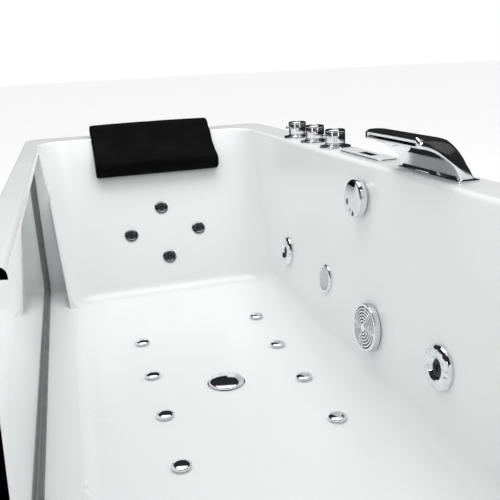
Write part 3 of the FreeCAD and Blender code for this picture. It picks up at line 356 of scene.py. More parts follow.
# Frame: square steel tube, cut, welded and hot dip galvanised, on zinc plated screw feet.
# Softwood blocks carry the basin floor.
galvanised = finish("galvanised_steel", (0.52, 0.54, 0.55), (0.38, 0.40, 0.42), (0.35, 0.55),
                    patch=35.0, Metallic=0.85, relief=0.15)
add_texture(galvanised, "ShaderNodeTexVoronoi", "Color", "colour", "Factor", 90.0)
for name in ("base_rails", "frame_posts"):
    dress(name, galvanised)
zinc = finish("zinc_plate", (0.66, 0.67, 0.69), (0.50, 0.51, 0.50), (0.22, 0.36), patch=60.0,
              Metallic=1.0, relief=0.1)
for name in nodes:
    if name.startswith("levelling_foot") or name == "foot_lock_nuts":
        dress(name, zinc)
timber = finish("sawn_softwood", (0.62, 0.45, 0.27), (0.44, 0.29, 0.15), (0.6, 0.8), patch=12.0,
                fine=300.0, coarse=60.0, relief=0.35, depth=0.001)
rings = add_texture(timber, "ShaderNodeTexWave", "Color", "colour", "Factor", 24.0)
rings.wave_type = "RINGS"
rings.inputs["Distortion"].default_value = 4.0
dress("floor_supports", timber)

# Skirt panels: four sheets of glossy white plastic, bent at the corners and held by screws into
# the posts of the frame, so that they come off for service.
panel_white = finish("gloss_white_panel", (0.84, 0.845, 0.85), (0.81, 0.815, 0.82), (0.14, 0.22),
                     patch=3.0, fine=320.0, coarse=12.0, coarse_share=0.8, relief=0.1)
for name in ("front_panel", "back_panel", "head_end_panel", "foot_end_panel"):
    dress(name, panel_white)

# Headrest: one piece of black polyurethane foam with a moulded skin, hooked over the rim and
# lying on the backrest. Its face is crowned a little and its edges are rounded.
MM = 0.001
rim_top = 580.0
head_edge = -736.0


def outward(piece):
    """Merges doubled points and turns every face outwards."""
    work = bmesh.new()
    work.from_mesh(piece.data)
    bmesh.ops.remove_doubles(work, verts=work.verts, dist=1e-6)
    bmesh.ops.recalc_face_normals(work, faces=work.faces)
    work.to_mesh(piece.data)
    work.free()


def fitted(piece, material, body, slot_name, *cad_nodes, place=None):
    """Places a finished piece, gives it its material, hangs it on its body and hides the nodes it
    stands in for.
    """
    if place is not None:
        piece.data.transform(place)
    piece.data.materials.clear()
    piece.data.materials.append(material)
    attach(piece, body)
    if cad_nodes:
        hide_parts(*cad_nodes)
    return piece


def shaded(piece, angle):
    """Smooth shading that leaves the edges sharper than an angle in degrees crisp."""
    piece.data.shade_smooth()
    piece.data.set_sharp_from_angle(angle=math.radians(angle))
    return piece


def three_point_arc(a, b, c, steps):
    """Points on the circle through a, b and c, from a to c."""
    (ax, az), (bx, bz), (cx, cz) = a, b, c
    d = 2 * (ax * (bz - cz) + bx * (cz - az) + cx * (az - bz))
    ux = ((ax ** 2 + az ** 2) * (bz - cz) + (bx ** 2 + bz ** 2) * (cz - az)
          + (cx ** 2 + cz ** 2) * (az - bz)) / d
    uz = ((ax ** 2 + az ** 2) * (cx - bx) + (bx ** 2 + bz ** 2) * (ax - cx)
          + (cx ** 2 + cz ** 2) * (bx - ax)) / d
    radius = math.hypot(ax - ux, az - uz)
    start = math.atan2(az - uz, ax - ux)
    middle = (math.atan2(bz - uz, bx - ux) - start) % (2 * math.pi)
    end = (math.atan2(cz - uz, cx - ux) - start) % (2 * math.pi)
    if middle > end:
        end -= 2 * math.pi
    turns = [start + end * i / steps for i in range(steps + 1)]
    return [(ux + radius * math.cos(turn), uz + radius * math.sin(turn)) for turn in turns]


def evenly(points, count):
    """The closed line through points, cut into equal steps."""
    ring = points + [points[0]]
    lengths = [math.dist(p, q) for p, q in zip(ring, ring[1:])]
    whole = sum(lengths)
    made, i, run = [], 0, 0.0
    for k in range(count):
        goal = whole * k / count
        while run + lengths[i] < goal:
            run += lengths[i]
            i += 1
        t = (goal - run) / lengths[i] if lengths[i] else 0.0
        made.append((ring[i][0] + t * (ring[i + 1][0] - ring[i][0]),
                     ring[i][1] + t * (ring[i + 1][1] - ring[i][1])))
    return made


def pillow_outline():
    """Side view from the rim's inner edge: outer face first, then the back that meets the tub."""
    line = [(-60.3, 1.2), (-60.3, 14)]
    line += three_point_arc((-60.3, 14), (-55.2, 27.4), (-41, 32.8), 8)[1:]
    line += three_point_arc((-41, 32.8), (-27, 31.4), (-14, 23.6), 8)[1:]
    line += three_point_arc((-14, 23.6), (36, -26), (95.4, -58), 24)[1:]
    line += three_point_arc((95.4, -58), (105.2, -78), (89.6, -98.2), 8)[1:]
    line += three_point_arc((89.6, -98.2), (82, -100.6), (71.4, -99.4), 5)[1:]
    line += [(62, -86), (30, -40.3), (8, -8.2), (3.4, -3.4), (-2.6, -0.2), (-8, 0.9)]
    return line


def make_headrest():
    """The side view swept along the width, its ends rounded and its face a little uneven."""
    half, edge_r, crown, unevenness = 170.0, 6.0, 2.4, 0.35
    face_x, face_z = 0.62, 0.78
    rings, around, edge_steps = 72, 150, 8
    ring = evenly(pillow_outline(), around)
    normals = []
    for i in range(around):
        (px, pz), (qx, qz) = ring[i - 3], ring[(i + 3) % around]
        length = math.hypot(qx - px, qz - pz)
        normals.append(((pz - qz) / length, (qx - px) / length))
    stations = []
    for i in range(edge_steps + 1):
        angle = math.pi / 2 * i / edge_steps
        stations.append((-half + edge_r * (1 - math.cos(angle)), edge_r * (1 - math.sin(angle))))
    flat = 2 * half - 2 * edge_r
    middle = [(-half + edge_r + flat * i / rings, 0.0) for i in range(1, rings)]
    mirrored = [(-y, inset) for y, inset in reversed(stations)]
    lines = stations + middle + mirrored
    verts, faces = [], []
    for y, inset in lines:
        swell = crown * (1 - abs(y / half) ** 2.6)
        for (x, z), (nx, nz) in zip(ring, normals):
            facing = max(0.0, nx * face_x + nz * face_z)
            shift = swell * facing - inset
            place = Vector((head_edge + x + nx * shift, y, rim_top + z + nz * shift))
            place += Vector((nx, 0, nz)) * unevenness * facing * noise.noise(place * 0.02)
            verts.append(place * MM)
    count = len(lines)
    for i in range(count - 1):
        near, far_row = i * around, (i + 1) * around
        for j in range(around):
            k = (j + 1) % around
            faces.append((near + j, near + k, far_row + k, far_row + j))
    faces.append(tuple(range(around)))
    faces.append(tuple((count - 1) * around + j for j in reversed(range(around))))
    piece = mesh_piece("headrest_pillow", verts, faces)
    outward(piece)
    return shaded(piece, 50.0)


foam_skin = finish("black_foam_skin", (0.004, 0.004, 0.0042), (0.0025, 0.0025, 0.0027),
                   (0.55, 0.66), patch=18.0, fine=1500.0, coarse=420.0, coarse_share=0.55,
                   relief=0.4, depth=0.0005, Specular_IOR_Level=0.03)
pillow = fitted(make_headrest(), foam_skin, "tub", "headrest_foam", "headrest")

# Back jets: four chrome rings in the backrest, their chrome painted darker as shade, each round a
# black nozzle that spins on its axis.
backrest_slope = 0.70


def frame_at(origin, x_way, z_way):
    """A place for a piece: its origin in millimetres and where its own X and Z point."""
    y_way = z_way.cross(x_way)
    turn = Matrix((x_way, y_way, z_way)).transposed().to_4x4()
    return Matrix.Translation(Vector(origin) * MM) @ turn


def on_backrest(y, drop):
    """A place on the backrest, some way below the rim, that faces into the basin."""
    lean = math.atan(backrest_slope)
    inward = Vector((math.cos(lean), 0, math.sin(lean)))
    x = head_edge + backrest_slope * drop
    return frame_at((x, y, rim_top - drop), Vector((0, 1, 0)), inward)


def turned(name, outline, count=96):
    """A closed solid of revolution about Z, from (radius, height) points in millimetres."""
    verts, faces, rows = [], [], []
    for radius, height in outline:
        if radius <= 0.0:
            rows.append([len(verts)] * count)
            verts.append((0.0, 0.0, height * MM))
            continue
        rows.append(list(range(len(verts), len(verts) + count)))
        for i in range(count):
            angle = 2 * math.pi * i / count
            point = Vector((radius * math.cos(angle), radius * math.sin(angle), height))
            verts.append(point * MM)
    pairs = list(zip(rows, rows[1:]))
    if outline[0][0] > 0.0:
        pairs.append((rows[-1], rows[0]))
    for low, high in pairs:
        for i in range(count):
            j = (i + 1) % count
            corners = [low[i], low[j], high[j], high[i]]
            face = [c for k, c in enumerate(corners) if c != corners[k - 1]]
            if len(face) > 2:
                faces.append(face)
    piece = mesh_piece(name, verts, faces)
    outward(piece)
    return piece


def applied(piece):
    """Puts what the modifiers make into the mesh and takes them off."""
    bpy.context.view_layer.update()
    graph = bpy.context.evaluated_depsgraph_get()
    made = bpy.data.meshes.new_from_object(piece.evaluated_get(graph))
    piece.modifiers.clear()
    piece.data = made
    return piece


def softened(piece, width, segments=3, angle=35.0):
    """Small radii on the edges, then smooth shading between them."""
    bevel = piece.modifiers.new("edge_radius", "BEVEL")
    bevel.width = width * MM
    bevel.segments = segments
    bevel.limit_method = "ANGLE"
    bevel.angle_limit = math.radians(angle)
    bevel.harden_normals = False
    applied(piece)
    return shaded(piece, 40.0)


def joined(name, pieces):
    """Several pieces as one mesh."""
    work = bmesh.new()
    for piece in pieces:
        work.from_mesh(piece.data)
    data = bpy.data.meshes.new(name)
    work.to_mesh(data)
    work.free()
    for piece in pieces:
        bpy.data.objects.remove(piece)
    whole = bpy.data.objects.new(name, data)
    bpy.context.collection.objects.link(whole)
    return whole


black_plastic = finish("black_plastic", (0.035, 0.035, 0.038), (0.02, 0.02, 0.022), (0.35, 0.5),
                       patch=40.0, relief=0.15)
back_jet_spots = [(-8.0, 189.0), (-100.0, 248.0), (84.0, 248.0), (-8.0, 307.0)]
cup_outline = [(0, -62), (7.5, -62), (7.5, -40), (14, -36), (14, 0.1), (18.5, 0.1), (18.5, 1.2),
               (17.9, 2.4), (16.6, 3.4), (14.6, 4.0), (12.6, 4.0), (11.8, 3.5), (11.2, 2.2),
               (11.2, -12), (5, -12), (5, -52), (0, -52)]
nozzle_outline = [(0, -11.7), (10.9, -11.7), (10.9, 1.6), (9.9, 2.6), (9.0, 2.4), (8.4, 1.5),
                  (6.4, 1.2), (5.6, 2.2), (5.2, 3.6), (4.2, 4.4), (3.2, 4.0), (2.6, 2.0),
                  (2.4, -4.0), (0, -4.0)]
jet_cups = []
for i, (y, drop) in enumerate(back_jet_spots):
    place = on_backrest(y, drop)
    cup = softened(turned("cup", cup_outline, 96), 0.2, 2)
    cup.data.transform(place)
    jet_cups.append(cup)
    nozzle = softened(turned("nozzle_%d" % (i + 1), nozzle_outline, 64), 0.2, 2)
    fitted(nozzle, black_plastic, "back_jet_%d" % (i + 1), "black_plastic",
           "back_jet_nozzle_%d" % (i + 1), place=place)
# Painted shade: the rings' plain chrome copied with its colour made darker, so they look shadowed.
shaded_chrome = finish("shaded_chrome", (0.33, 0.34, 0.35), (0.26, 0.27, 0.28), (0.05, 0.12),
                     patch=60.0, fine=120.0, relief=0.02, Metallic=1.0)
fitted(joined("back_jet_cups", jet_cups), shaded_chrome, "tub", "chrome", "back_jet_bodies")

# Side jets: a chrome plated rosette with shallow finger flutes that turns by hand, and a black
# ball nozzle that tilts in it. The body behind the wall is white plastic.
tap_edge = 272.0
tap_wall_slope = 0.085


def on_tap_wall(x, drop):
    """A place on the wall under the taps, some way below the rim, that faces into the basin."""
    lean = math.atan(tap_wall_slope)
    inward = Vector((0, -math.cos(lean), math.sin(lean)))
    y = tap_edge - tap_wall_slope * drop
    return frame_at((x, y, rim_top - drop), Vector((1, 0, 0)), inward)


def jet_face(i):
    """The rosette: a low dome whose twelve flutes fade out towards the middle."""
    flutes, flute_depth, flute_start, flute_end = 12, 0.8, 22.0, 35.0
    back = [(18.4, -9.8), (18.4, 2.4), (31.4, 2.4), (31.4, 0.5), (34.8, 0.5)]
    face = [(35.0, 2.0), (34.9, 3.4), (34.2, 5.2), (32.8, 7.2), (30.6, 9.0), (28.0, 10.4),
            (25.2, 11.2), (22.4, 11.5), (20.0, 11.1), (18.0, 10.0), (16.4, 8.4), (15.0, 6.8),
            (13.8, 5.6), (12.9, 4.9), (12.6, 4.3)]
    throat = [(14.2, 1.6), (15.3, -3.0), (15.5, -9.8)]
    rosette = turned("side_jet_face_%d" % (i + 1), back + face + throat, 192)
    for vert in rosette.data.vertices:
        away = math.hypot(vert.co.x, vert.co.y) / MM
        if vert.co.z < 2.8 * MM or not flute_start < away < flute_end - 0.1:
            continue
        angle = math.atan2(vert.co.y, vert.co.x)
        flute = (0.5 + 0.5 * math.cos(flutes * angle)) ** 1.5
        fade = math.sin(math.pi * (away - flute_start) / (flute_end - flute_start)) ** 1.2
        vert.co.z -= flute_depth * MM * flute * fade
    return shaded(rosette, 38.0)


# Chrome: plated and polished to a mirror, with faint water marks.
chrome = finish("polished_chrome", (0.84, 0.85, 0.86), (0.76, 0.77, 0.79), (0.02, 0.07),
                patch=45.0, fine=120.0, coarse=30.0, relief=0.02, Metallic=1.0)
white_plastic = finish("white_pipe_plastic", (0.78, 0.79, 0.79), (0.72, 0.73, 0.73), (0.3, 0.42),
                       patch=14.0, relief=0.1)
side_jet_drop = 263.0
ball_radius = 15.0
ball_middle = -4.0
ball = []
for degrees in range(-68, 43, 5):
    angle = math.radians(degrees)
    ball.append((ball_radius * math.cos(angle), ball_middle + ball_radius * math.sin(angle)))
nozzle_mouth = [(10.6, 6.3), (9.8, 6.5), (9.0, 6.1), (8.6, 5.0), (7.9, 5.0), (7.5, 6.1),
                (6.8, 6.5), (6.0, 6.3), (5.5, 5.6), (5.5, -17.5)]
for i, x in enumerate((-287.0, 390.0)):
    place = on_tap_wall(x, side_jet_drop)
    fitted(jet_face(i), chrome, "side_jet_%d" % (i + 1), "chrome",
           "side_jet_rosette_%d" % (i + 1), place=place)
    nozzle = shaded(turned("side_jet_nozzle_ring_%d" % (i + 1), ball + nozzle_mouth, 96), 38.0)
    fitted(nozzle, black_plastic, "side_nozzle_%d" % (i + 1), "black_plastic",
           "side_jet_nozzle_%d" % (i + 1), place=place)
dress("side_jet_bodies", white_plastic)


# Light: a frosted plastic lens, domed a little, in a chrome plated bezel. The bezel is one with
# the housing that goes through the wall.
def dome(radius, base, rise, steps):
    """Outline points of a flattened dome, from near its edge to its top."""
    points = []
    for k in range(1, steps):
        angle = math.pi / 2 * k / steps
        points.append((radius * math.cos(angle), base + rise * math.sin(angle)))
    return points + [(0, base + rise)]


place = on_tap_wall(-48.0, 260.0)
bezel_outline = [(0, -36), (20, -36), (20, 0.1), (30, 0.1), (30, 1.8), (29.2, 3.6), (27.4, 4.9),
                 (25.2, 5.2), (24, 4.6), (23.1, 3.6), (23.1, 1.9), (0, 1.9)]
bezel = softened(turned("light_bezel", bezel_outline), 0.3, 2)
fitted(bezel, chrome, "tub", "chrome", "light_housing", place=place)
frosted = finish("frosted_lens", (0.55, 0.565, 0.57), (0.50, 0.515, 0.52), (0.35, 0.45),
                 patch=60.0, fine=2600.0, relief=0.2)
lens_outline = [(0, 2), (23, 2), (23, 4.0)] + dome(23.0, 4.0, 3.4, 10)
lens = shaded(turned("light_lens_disc", lens_outline), 40.0)
fitted(lens, frosted, "tub", "frosted_lens", "light_lens", place=place)


# Suction fitting: a plated cover with rings of slots in its face and upright ribs round its
# side, over a plastic body in the wall.
def ring_tree():
    """Geometry Nodes: a bar repeated round a circle."""
    group = bpy.data.node_groups.new("ring_of_bars", "GeometryNodeTree")
    group_socket(group, "Geometry", "INPUT", "NodeSocketGeometry")
    group_socket(group, "Count", "INPUT", "NodeSocketInt", 12)
    group_socket(group, "Radius", "INPUT", "NodeSocketFloat", 0.03)
    group_socket(group, "Bar Size", "INPUT", "NodeSocketVector", (0.001, 0.001, 0.001))
    group_socket(group, "Material", "INPUT", "NodeSocketMaterial")
    group_socket(group, "Geometry", "OUTPUT", "NodeSocketGeometry")
    inside = group.nodes.new("NodeGroupInput")
    outside = group.nodes.new("NodeGroupOutput")
    circle = group.nodes.new("GeometryNodeMeshCircle")
    bar = group.nodes.new("GeometryNodeMeshCube")
    where = group.nodes.new("GeometryNodeInputPosition")
    align = group.nodes.new("FunctionNodeAlignRotationToVector")
    align.axis = "X"
    place = group.nodes.new("GeometryNodeInstanceOnPoints")
    real = group.nodes.new("GeometryNodeRealizeInstances")
    paint = group.nodes.new("GeometryNodeSetMaterial")
    link = group.links.new
    link(inside.outputs["Count"], circle.inputs["Vertices"])
    link(inside.outputs["Radius"], circle.inputs["Radius"])
    link(inside.outputs["Bar Size"], bar.inputs["Size"])
    link(where.outputs["Position"], align.inputs["Vector"])
    link(circle.outputs["Mesh"], place.inputs["Points"])
    link(bar.outputs["Mesh"], place.inputs["Instance"])
    link(align.outputs["Rotation"], place.inputs["Rotation"])
    link(place.outputs["Instances"], real.inputs["Geometry"])
    link(real.outputs["Geometry"], paint.inputs["Geometry"])
    link(inside.outputs["Material"], paint.inputs["Material"])
    link(paint.outputs["Geometry"], outside.inputs["Geometry"])
    return group


def set_input(modifier, name, value):
    """Sets a modifier's input by the name that its tree shows."""
    for item in modifier.node_group.interface.items_tree:
        if item.item_type == "SOCKET" and item.in_out == "INPUT" and item.name == name:
            modifier[item.identifier] = value


ring_of_bars = ring_tree()


def bars_in_ring(name, count, radius, size, material, height):
    """Bars of one size, evenly round a circle at a height."""
    piece = mesh_piece(name, [(0, 0, 0)], [])
    modifier = piece.modifiers.new("bars", "NODES")
    modifier.node_group = ring_of_bars
    set_input(modifier, "Count", count)
    set_input(modifier, "Radius", radius * MM)
    set_input(modifier, "Bar Size", tuple(s * MM for s in size))
    set_input(modifier, "Material", material)
    applied(piece)
    piece.data.transform(Matrix.Translation((0, 0, height * MM)))
    return piece


def cover_height(radius):
    """Height of the cover's crowned face at a radius."""
    return 13.0 + 3.0 * (1 - (radius / 44.0) ** 2)


face_thickness = 2.4
cover = []
for inner_r in (32.75, 27.25, 21.75, 16.25, 10.75):
    outer_r = inner_r + 3.0
    top_outer, top_inner = cover_height(outer_r), cover_height(inner_r)
    band = [(outer_r, top_outer - face_thickness), (outer_r, top_outer), (inner_r, top_inner),
            (inner_r, top_inner - face_thickness)]
    cover.append(softened(turned("band", band), 0.5, 2))
hub = [(0, 2.2), (5, 2.2), (5, 12.6), (8.2, 12.8), (8.2, cover_height(8.2)), (3, cover_height(3)),
       (0, 16.0)]
cover.append(softened(turned("hub", hub), 0.4, 2))
wall = [(40, 2.2), (43.4, 2.2), (43.4, 12.2), (42.6, 13.2), (38.25, cover_height(38.25)),
        (38.25, cover_height(38.25) - face_thickness), (40, 10.8)]
cover.append(softened(turned("wall", wall), 0.35, 2))
cover.append(bars_in_ring("face_spokes", 4, 23.0, (31.0, 3.4, 1.8), chrome, 12.9))
cover.append(bars_in_ring("side_ribs", 44, 43.3, (1.4, 3.0, 9.0), chrome, 7.2))
fitted(joined("suction_cover", cover), chrome, "tub", "chrome", "suction_grille",
       place=on_tap_wall(165.0, 286.0))
grey_plastic = finish("grey_pipe_plastic", (0.34, 0.35, 0.36), (0.29, 0.30, 0.31), (0.34, 0.46),
                      patch=14.0, relief=0.1)
dress("suction_body", grey_plastic)


# Floor jets: chrome mushroom caps in two rows of four, over white plastic air tails that are
# pressed through the basin floor.
def copies_tree():
    """Geometry Nodes: copies of a piece at points, each facing the way its point says."""
    group = bpy.data.node_groups.new("copies_at_points", "GeometryNodeTree")
    group_socket(group, "Geometry", "INPUT", "NodeSocketGeometry")
    group_socket(group, "Piece", "INPUT", "NodeSocketObject")
    group_socket(group, "Size", "INPUT", "NodeSocketFloat", 1.0)
    group_socket(group, "Material", "INPUT", "NodeSocketMaterial")
    group_socket(group, "Geometry", "OUTPUT", "NodeSocketGeometry")
    inside = group.nodes.new("NodeGroupInput")
    outside = group.nodes.new("NodeGroupOutput")
    source = group.nodes.new("GeometryNodeObjectInfo")
    facing = group.nodes.new("GeometryNodeInputNamedAttribute")
    facing.data_type = "FLOAT_VECTOR"
    facing.inputs["Name"].default_value = "facing"
    align = group.nodes.new("FunctionNodeAlignRotationToVector")
    align.axis = "Z"
    place = group.nodes.new("GeometryNodeInstanceOnPoints")
    real = group.nodes.new("GeometryNodeRealizeInstances")
    paint = group.nodes.new("GeometryNodeSetMaterial")
    link = group.links.new
    link(inside.outputs["Geometry"], place.inputs["Points"])
    link(inside.outputs["Piece"], source.inputs["Object"])
    link(source.outputs["Geometry"], place.inputs["Instance"])
    link(facing.outputs["Attribute"], align.inputs["Vector"])
    link(align.outputs["Rotation"], place.inputs["Rotation"])
    link(inside.outputs["Size"], place.inputs["Scale"])
    link(place.outputs["Instances"], real.inputs["Geometry"])
    link(real.outputs["Geometry"], paint.inputs["Geometry"])
    link(inside.outputs["Material"], paint.inputs["Material"])
    link(paint.outputs["Geometry"], outside.inputs["Geometry"])
    return group


copies_at_points = copies_tree()


def copies(name, pattern, places, material):
    """One mesh of copies of pattern, at (point in millimetres, facing) places."""
    piece = mesh_piece(name, [Vector(point) * MM for point, way in places], [])
    facing = piece.data.attributes.new("facing", "FLOAT_VECTOR", "POINT")
    for item, (point, way) in zip(facing.data, places):
        item.vector = way
    modifier = piece.modifiers.new("copies", "NODES")
    modifier.node_group = copies_at_points
    set_input(modifier, "Piece", pattern)
    set_input(modifier, "Material", material)
    applied(piece)
    bpy.data.objects.remove(pattern)
    return shaded(piece, 40.0)


floor_level = 176.0
drain_x = 55.0


def floor_at(x):
    """Height and slope of the basin floor, which falls to the drain from both ends."""
    bend, foot_rise, foot_run = 6500.0, 4.0, 611.0
    away = drain_x - x
    if away > 0:
        return (floor_level + bend - math.sqrt(bend ** 2 - away ** 2), -away / bend)
    return (floor_level - foot_rise * away / foot_run, foot_rise / foot_run)


cap_outline = [(0, 2.1), (13, 2.1), (16, 3.6), (16, 5.0)] + dome(16.0, 5.0, 4.4, 10)
cap = softened(turned("cap", cap_outline, 64), 0.3, 2)
floor_jet_pitch = 160.0
spots = []
for y, first_x in ((-130.0, -182.0), (144.0, -228.0)):
    for i in range(4):
        x = first_x + floor_jet_pitch * i
        height, slope = floor_at(x)
        spots.append(((x, y, height), (-slope, 0.0, 1.0)))
fitted(copies("floor_jet_covers", cap, spots, chrome), chrome, "tub", "chrome", "floor_jet_caps")
dress("floor_jet_bodies", white_plastic)

# Waste: a chromed brass flange in the floor under a domed plug that rises on its stem to let the
# water out. The trap below is white plastic.
stem_foot = 140.3 - floor_level
plug_outline = [(0, stem_foot), (5, stem_foot), (5, 2.4), (33.2, 2.4), (33.8, 3.2), (33.8, 5.2)]
plug_cap = turned("plug_dome", plug_outline + dome(33.8, 5.3, 5.9, 14), 128)
softened(plug_cap, 0.3, 2)
fitted(plug_cap, chrome, "popup_plug", "chrome", "popup_plug",
       place=Matrix.Translation(Vector((drain_x, 0, floor_level)) * MM))
dress("waste_body", chrome)
dress("drain_trap", white_plastic)


# Overflow: a chrome knob on the wall over a plated body. It turns the cable that lifts the plug.
# The pipe is white plastic and the cable has a black jacket.
def block(name, low, high):
    """A box between two corners in millimetres."""
    xs, ys, zs = zip(low, high)
    verts = [(x * MM, y * MM, z * MM) for x in xs for y in ys for z in zs]
    faces = [(0, 1, 3, 2), (4, 6, 7, 5), (0, 4, 5, 1), (2, 3, 7, 6), (0, 2, 6, 4), (1, 5, 7, 3)]
    piece = mesh_piece(name, verts, faces)
    outward(piece)
    return piece


place = on_tap_wall(90.0, 66.0)
knob_outline = [(0, -24), (6, -24), (6, 2.6), (31, 2.6), (31, 5.6), (34.4, 5.6), (35, 6.4),
                (35, 17.4), (34.4, 18.9), (33.2, 19.8), (31.8, 20.0), (0, 20.0)]
knob = softened(turned("overflow_knob_face", knob_outline, 128), 0.35, 2)
fitted(knob, chrome, "overflow_knob", "chrome", "overflow_knob", place=place)
# Painted shade: two black plastic blocks, flush with the knob's face, stand where its two turning
# slots are and stand in for the shadow inside those recesses.
slot_shades = []
for x, y in ((-19.0, -6.5), (-3.5, -21.5)):
    slot_shades.append(block("mark", (x - 1.4, y - 3.6, 18.5), (x + 1.4, y + 3.6, 20.1)))
slot_shades = softened(joined("overflow_knob_marks", slot_shades), 0.3, 2)
fitted(slot_shades, black_plastic, "overflow_knob", "black_plastic", place=place)
dress("overflow_body", chrome)
dress("overflow_pipe", white_plastic)
dress("waste_cable", black_plastic)

# Taps: three turned brass handles, chromed, on flat rosettes. The outer two have a small pin
# to turn them by.
tap_xs = (-369.0, -252.0, -135.0)
tap_y = 312.0
rosette_outline = [(8.6, 0.1), (33, 0.1), (33, 2.9), (32.3, 3.9), (31.0, 4.3), (24.4, 4.7),
                   (23.6, 6.0), (8.6, 6.0)]
grip_outline = [(0, -28), (8, -28), (8, 0), (20.2, 0), (21.3, 1.1), (21.3, 3.0), (20.7, 3.5),
                (21.3, 4.0), (21.3, 26.4), (20.6, 27.0), (21.3, 27.6), (21.3, 29.6), (20.2, 31.2),
                (18.6, 31.9), (17.4, 32.0), (16.6, 31.4), (0, 31.4)]
pin_outline = [(0, -3), (2.5, -3), (2.5, 5.4), (4.0, 5.8), (4.5, 6.8), (4.0, 7.9), (2.4, 8.4),
               (0, 8.5)]
rosette = softened(turned("rosette", rosette_outline), 0.3, 2)
plates = copies("tap_plates", rosette, [((x, tap_y, rim_top), (0, 0, 1)) for x in tap_xs], chrome)
fitted(plates, chrome, "tub", "chrome", "tap_rosettes")
for x, name in zip(tap_xs, ("hot_handle", "diverter_handle", "cold_handle")):
    grip = softened(turned("grip", grip_outline, 128), 0.25, 2)
    if name != "diverter_handle":
        pin = softened(turned("pin", pin_outline, 32), 0.2, 2)
        pin.data.transform(frame_at((0, -20.4, 19.0), Vector((1, 0, 0)), Vector((0, -1, 0))))
        grip = joined("grip", [grip, pin])
    grip.name = name + "_grip"
    fitted(grip, chrome, name, "chrome", name,
           place=Matrix.Translation(Vector((x, tap_y, rim_top + 6.3)) * MM))
brass = finish("plain_brass", (0.66, 0.48, 0.22), (0.50, 0.34, 0.14), (0.25, 0.42), patch=50.0,
               Metallic=1.0, relief=0.15)
dress("valve_bodies", brass)


# Waterfall spout: a broad arched blade of chromed brass on a thin base plate on the deck. The
# water leaves by a slot in its lip.
slot_corners = [(-92, 60.6), (-68, 60.6), (-68, 57.4), (-92, 57.4)]


def spout_outline():
    """End view from the tail on the deck: outer arc, lip, then the hollow underside."""
    line = three_point_arc((0, 0.2), (-12, 30), (-42, 62), 26)
    line += three_point_arc((-42, 62), (-66, 68.5), (-92, 69), 18)[1:]
    line += slot_corners + [(-92, 54)]
    line += three_point_arc((-92, 54), (-62, 44), (-36, 24), 22)[1:]
    line += three_point_arc((-36, 24), (-28, 12), (-24, 0.2), 12)[1:]
    return line


def drawn_in(outline, depth, arc_points=44):
    """The outline with its outer arc moved inwards, for the sloping ends of the blade."""
    moved = []
    for k, (y, z) in enumerate(outline):
        if 0 < k < arc_points:
            (py, pz), (qy, qz) = outline[k - 1], outline[k + 1]
            length = math.hypot(qy - py, qz - pz)
            amount = depth * min(1.0, k / 10)
            y, z = y - (qz - pz) / length * amount, z + (qy - py) / length * amount
        elif k == arc_points:
            z -= depth
        moved.append((y, z))
    return moved


def make_spout():
    """Two sloping ends and the slotted middle as one body, with soft edges, on its plate."""
    tail_y, near_x, far_x, slope_run = 324.0, 177.0, 347.0, 10.0
    line = spout_outline()
    full = [p for p in line if p not in slot_corners]
    slim = drawn_in(full, 5.0)
    stretches = ((near_x, slim, near_x + slope_run, full),
                 (near_x + slope_run, line, far_x - slope_run, line),
                 (far_x - slope_run, full, far_x, slim))
    pieces = []
    for first_x, first, last_x, last in stretches:
        verts = [Vector((first_x, tail_y + y, rim_top + z)) * MM for y, z in first]
        verts += [Vector((last_x, tail_y + y, rim_top + z)) * MM for y, z in last]
        n = len(first)
        faces = [tuple(range(n)), tuple(reversed(range(n, 2 * n)))]
        faces += [(k, n + k, n + (k + 1) % n, (k + 1) % n) for k in range(n)]
        piece = mesh_piece("part", verts, faces)
        outward(piece)
        pieces.append(piece)
    whole = pieces[0]
    for other in pieces[1:]:
        union = whole.modifiers.new("union", "BOOLEAN")
        union.operation = "UNION"
        union.object = other
        union.solver = "EXACT"
        applied(whole)
        bpy.data.objects.remove(other)
    softened(whole, 1.2, 3, 24.0)
    plate = softened(block("plate", (173, 294, 580.1), (351, 330, 583)), 1.0, 3)
    return joined("spout_blade", [whole, plate])


fitted(make_spout(), chrome, "tub", "chrome", "waterfall_spout")
dress("mixer_pipe", brass)

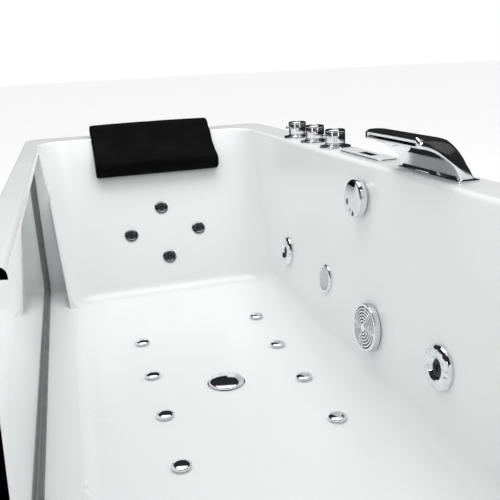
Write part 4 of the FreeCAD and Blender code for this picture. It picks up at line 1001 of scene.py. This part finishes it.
# Control plate: a satin white keypad in a chromed surround, flat on the deck between the taps and
# the spout, with a dark glass display.
plate_white = finish("satin_keypad", (0.80, 0.81, 0.82), (0.77, 0.78, 0.79), (0.2, 0.3),
                     patch=40.0, relief=0.08)
dress("control_panel", plate_white)
nodes["control_panel"].data.materials.append(chrome)
for face in nodes["control_panel"].data.polygons:
    face.material_index = 0 if face.normal.z > 0.95 else 1
display_glass = finish("display_glass", (0.018, 0.02, 0.023), (0.012, 0.014, 0.018),
                       (0.05, 0.12), patch=50.0, relief=0.02)
dress("control_display", display_glass)

# Panel screws: twenty stainless pan heads with a cross recess, through the panels into the posts
# of the frame.
head_outline = [(0, -7.5), (2, -7.5), (2, 0.05), (4.5, 0.05), (4.5, 0.9), (4.0, 1.8), (3.0, 2.3),
                (0, 2.5)]
head = turned("head", head_outline, 32)
for half_x, half_y in ((2.3, 0.45), (0.45, 2.3)):
    cutter = block("cutter", (-half_x, -half_y, 1.2), (half_x, half_y, 4.0))
    cut = head.modifiers.new("cross", "BOOLEAN")
    cut.object = cutter
    cut.solver = "EXACT"
    applied(head)
    bpy.data.objects.remove(cutter)
long_panel_y = 341.5
end_panel_x = 841.5
places = []
for x in (-652.5, 652.5):
    for z in (140.0, 300.0, 460.0):
        places.append(((x, -long_panel_y, z), (0, -1, 0)))
        places.append(((x, long_panel_y, z), (0, 1, 0)))
for y in (-292.5, 292.5):
    for z in (140.0, 460.0):
        places.append(((-end_panel_x, y, z), (-1, 0, 0)))
        places.append(((end_panel_x, y, z), (1, 0, 0)))
screws = copies("panel_screw_heads", head, places, chrome)
fitted(screws, chrome, "tub", "chrome", "panel_screws")

# Machines and pipes under the basin: pump with its motor, blower, control box, grey pressure
# and suction pipes and the white air line.
for name in ("pump_casing", "pump_impeller", "blower_housing", "blower_fan"):
    dress(name, black_plastic)
motor_paint = finish("motor_enamel", (0.05, 0.075, 0.12), (0.035, 0.055, 0.09), (0.3, 0.42),
                     patch=20.0, relief=0.3)
dress("pump_motor", motor_paint)
dress("control_box", white_plastic)
dress("water_pipes", grey_plastic)
dress("air_pipes", white_plastic)
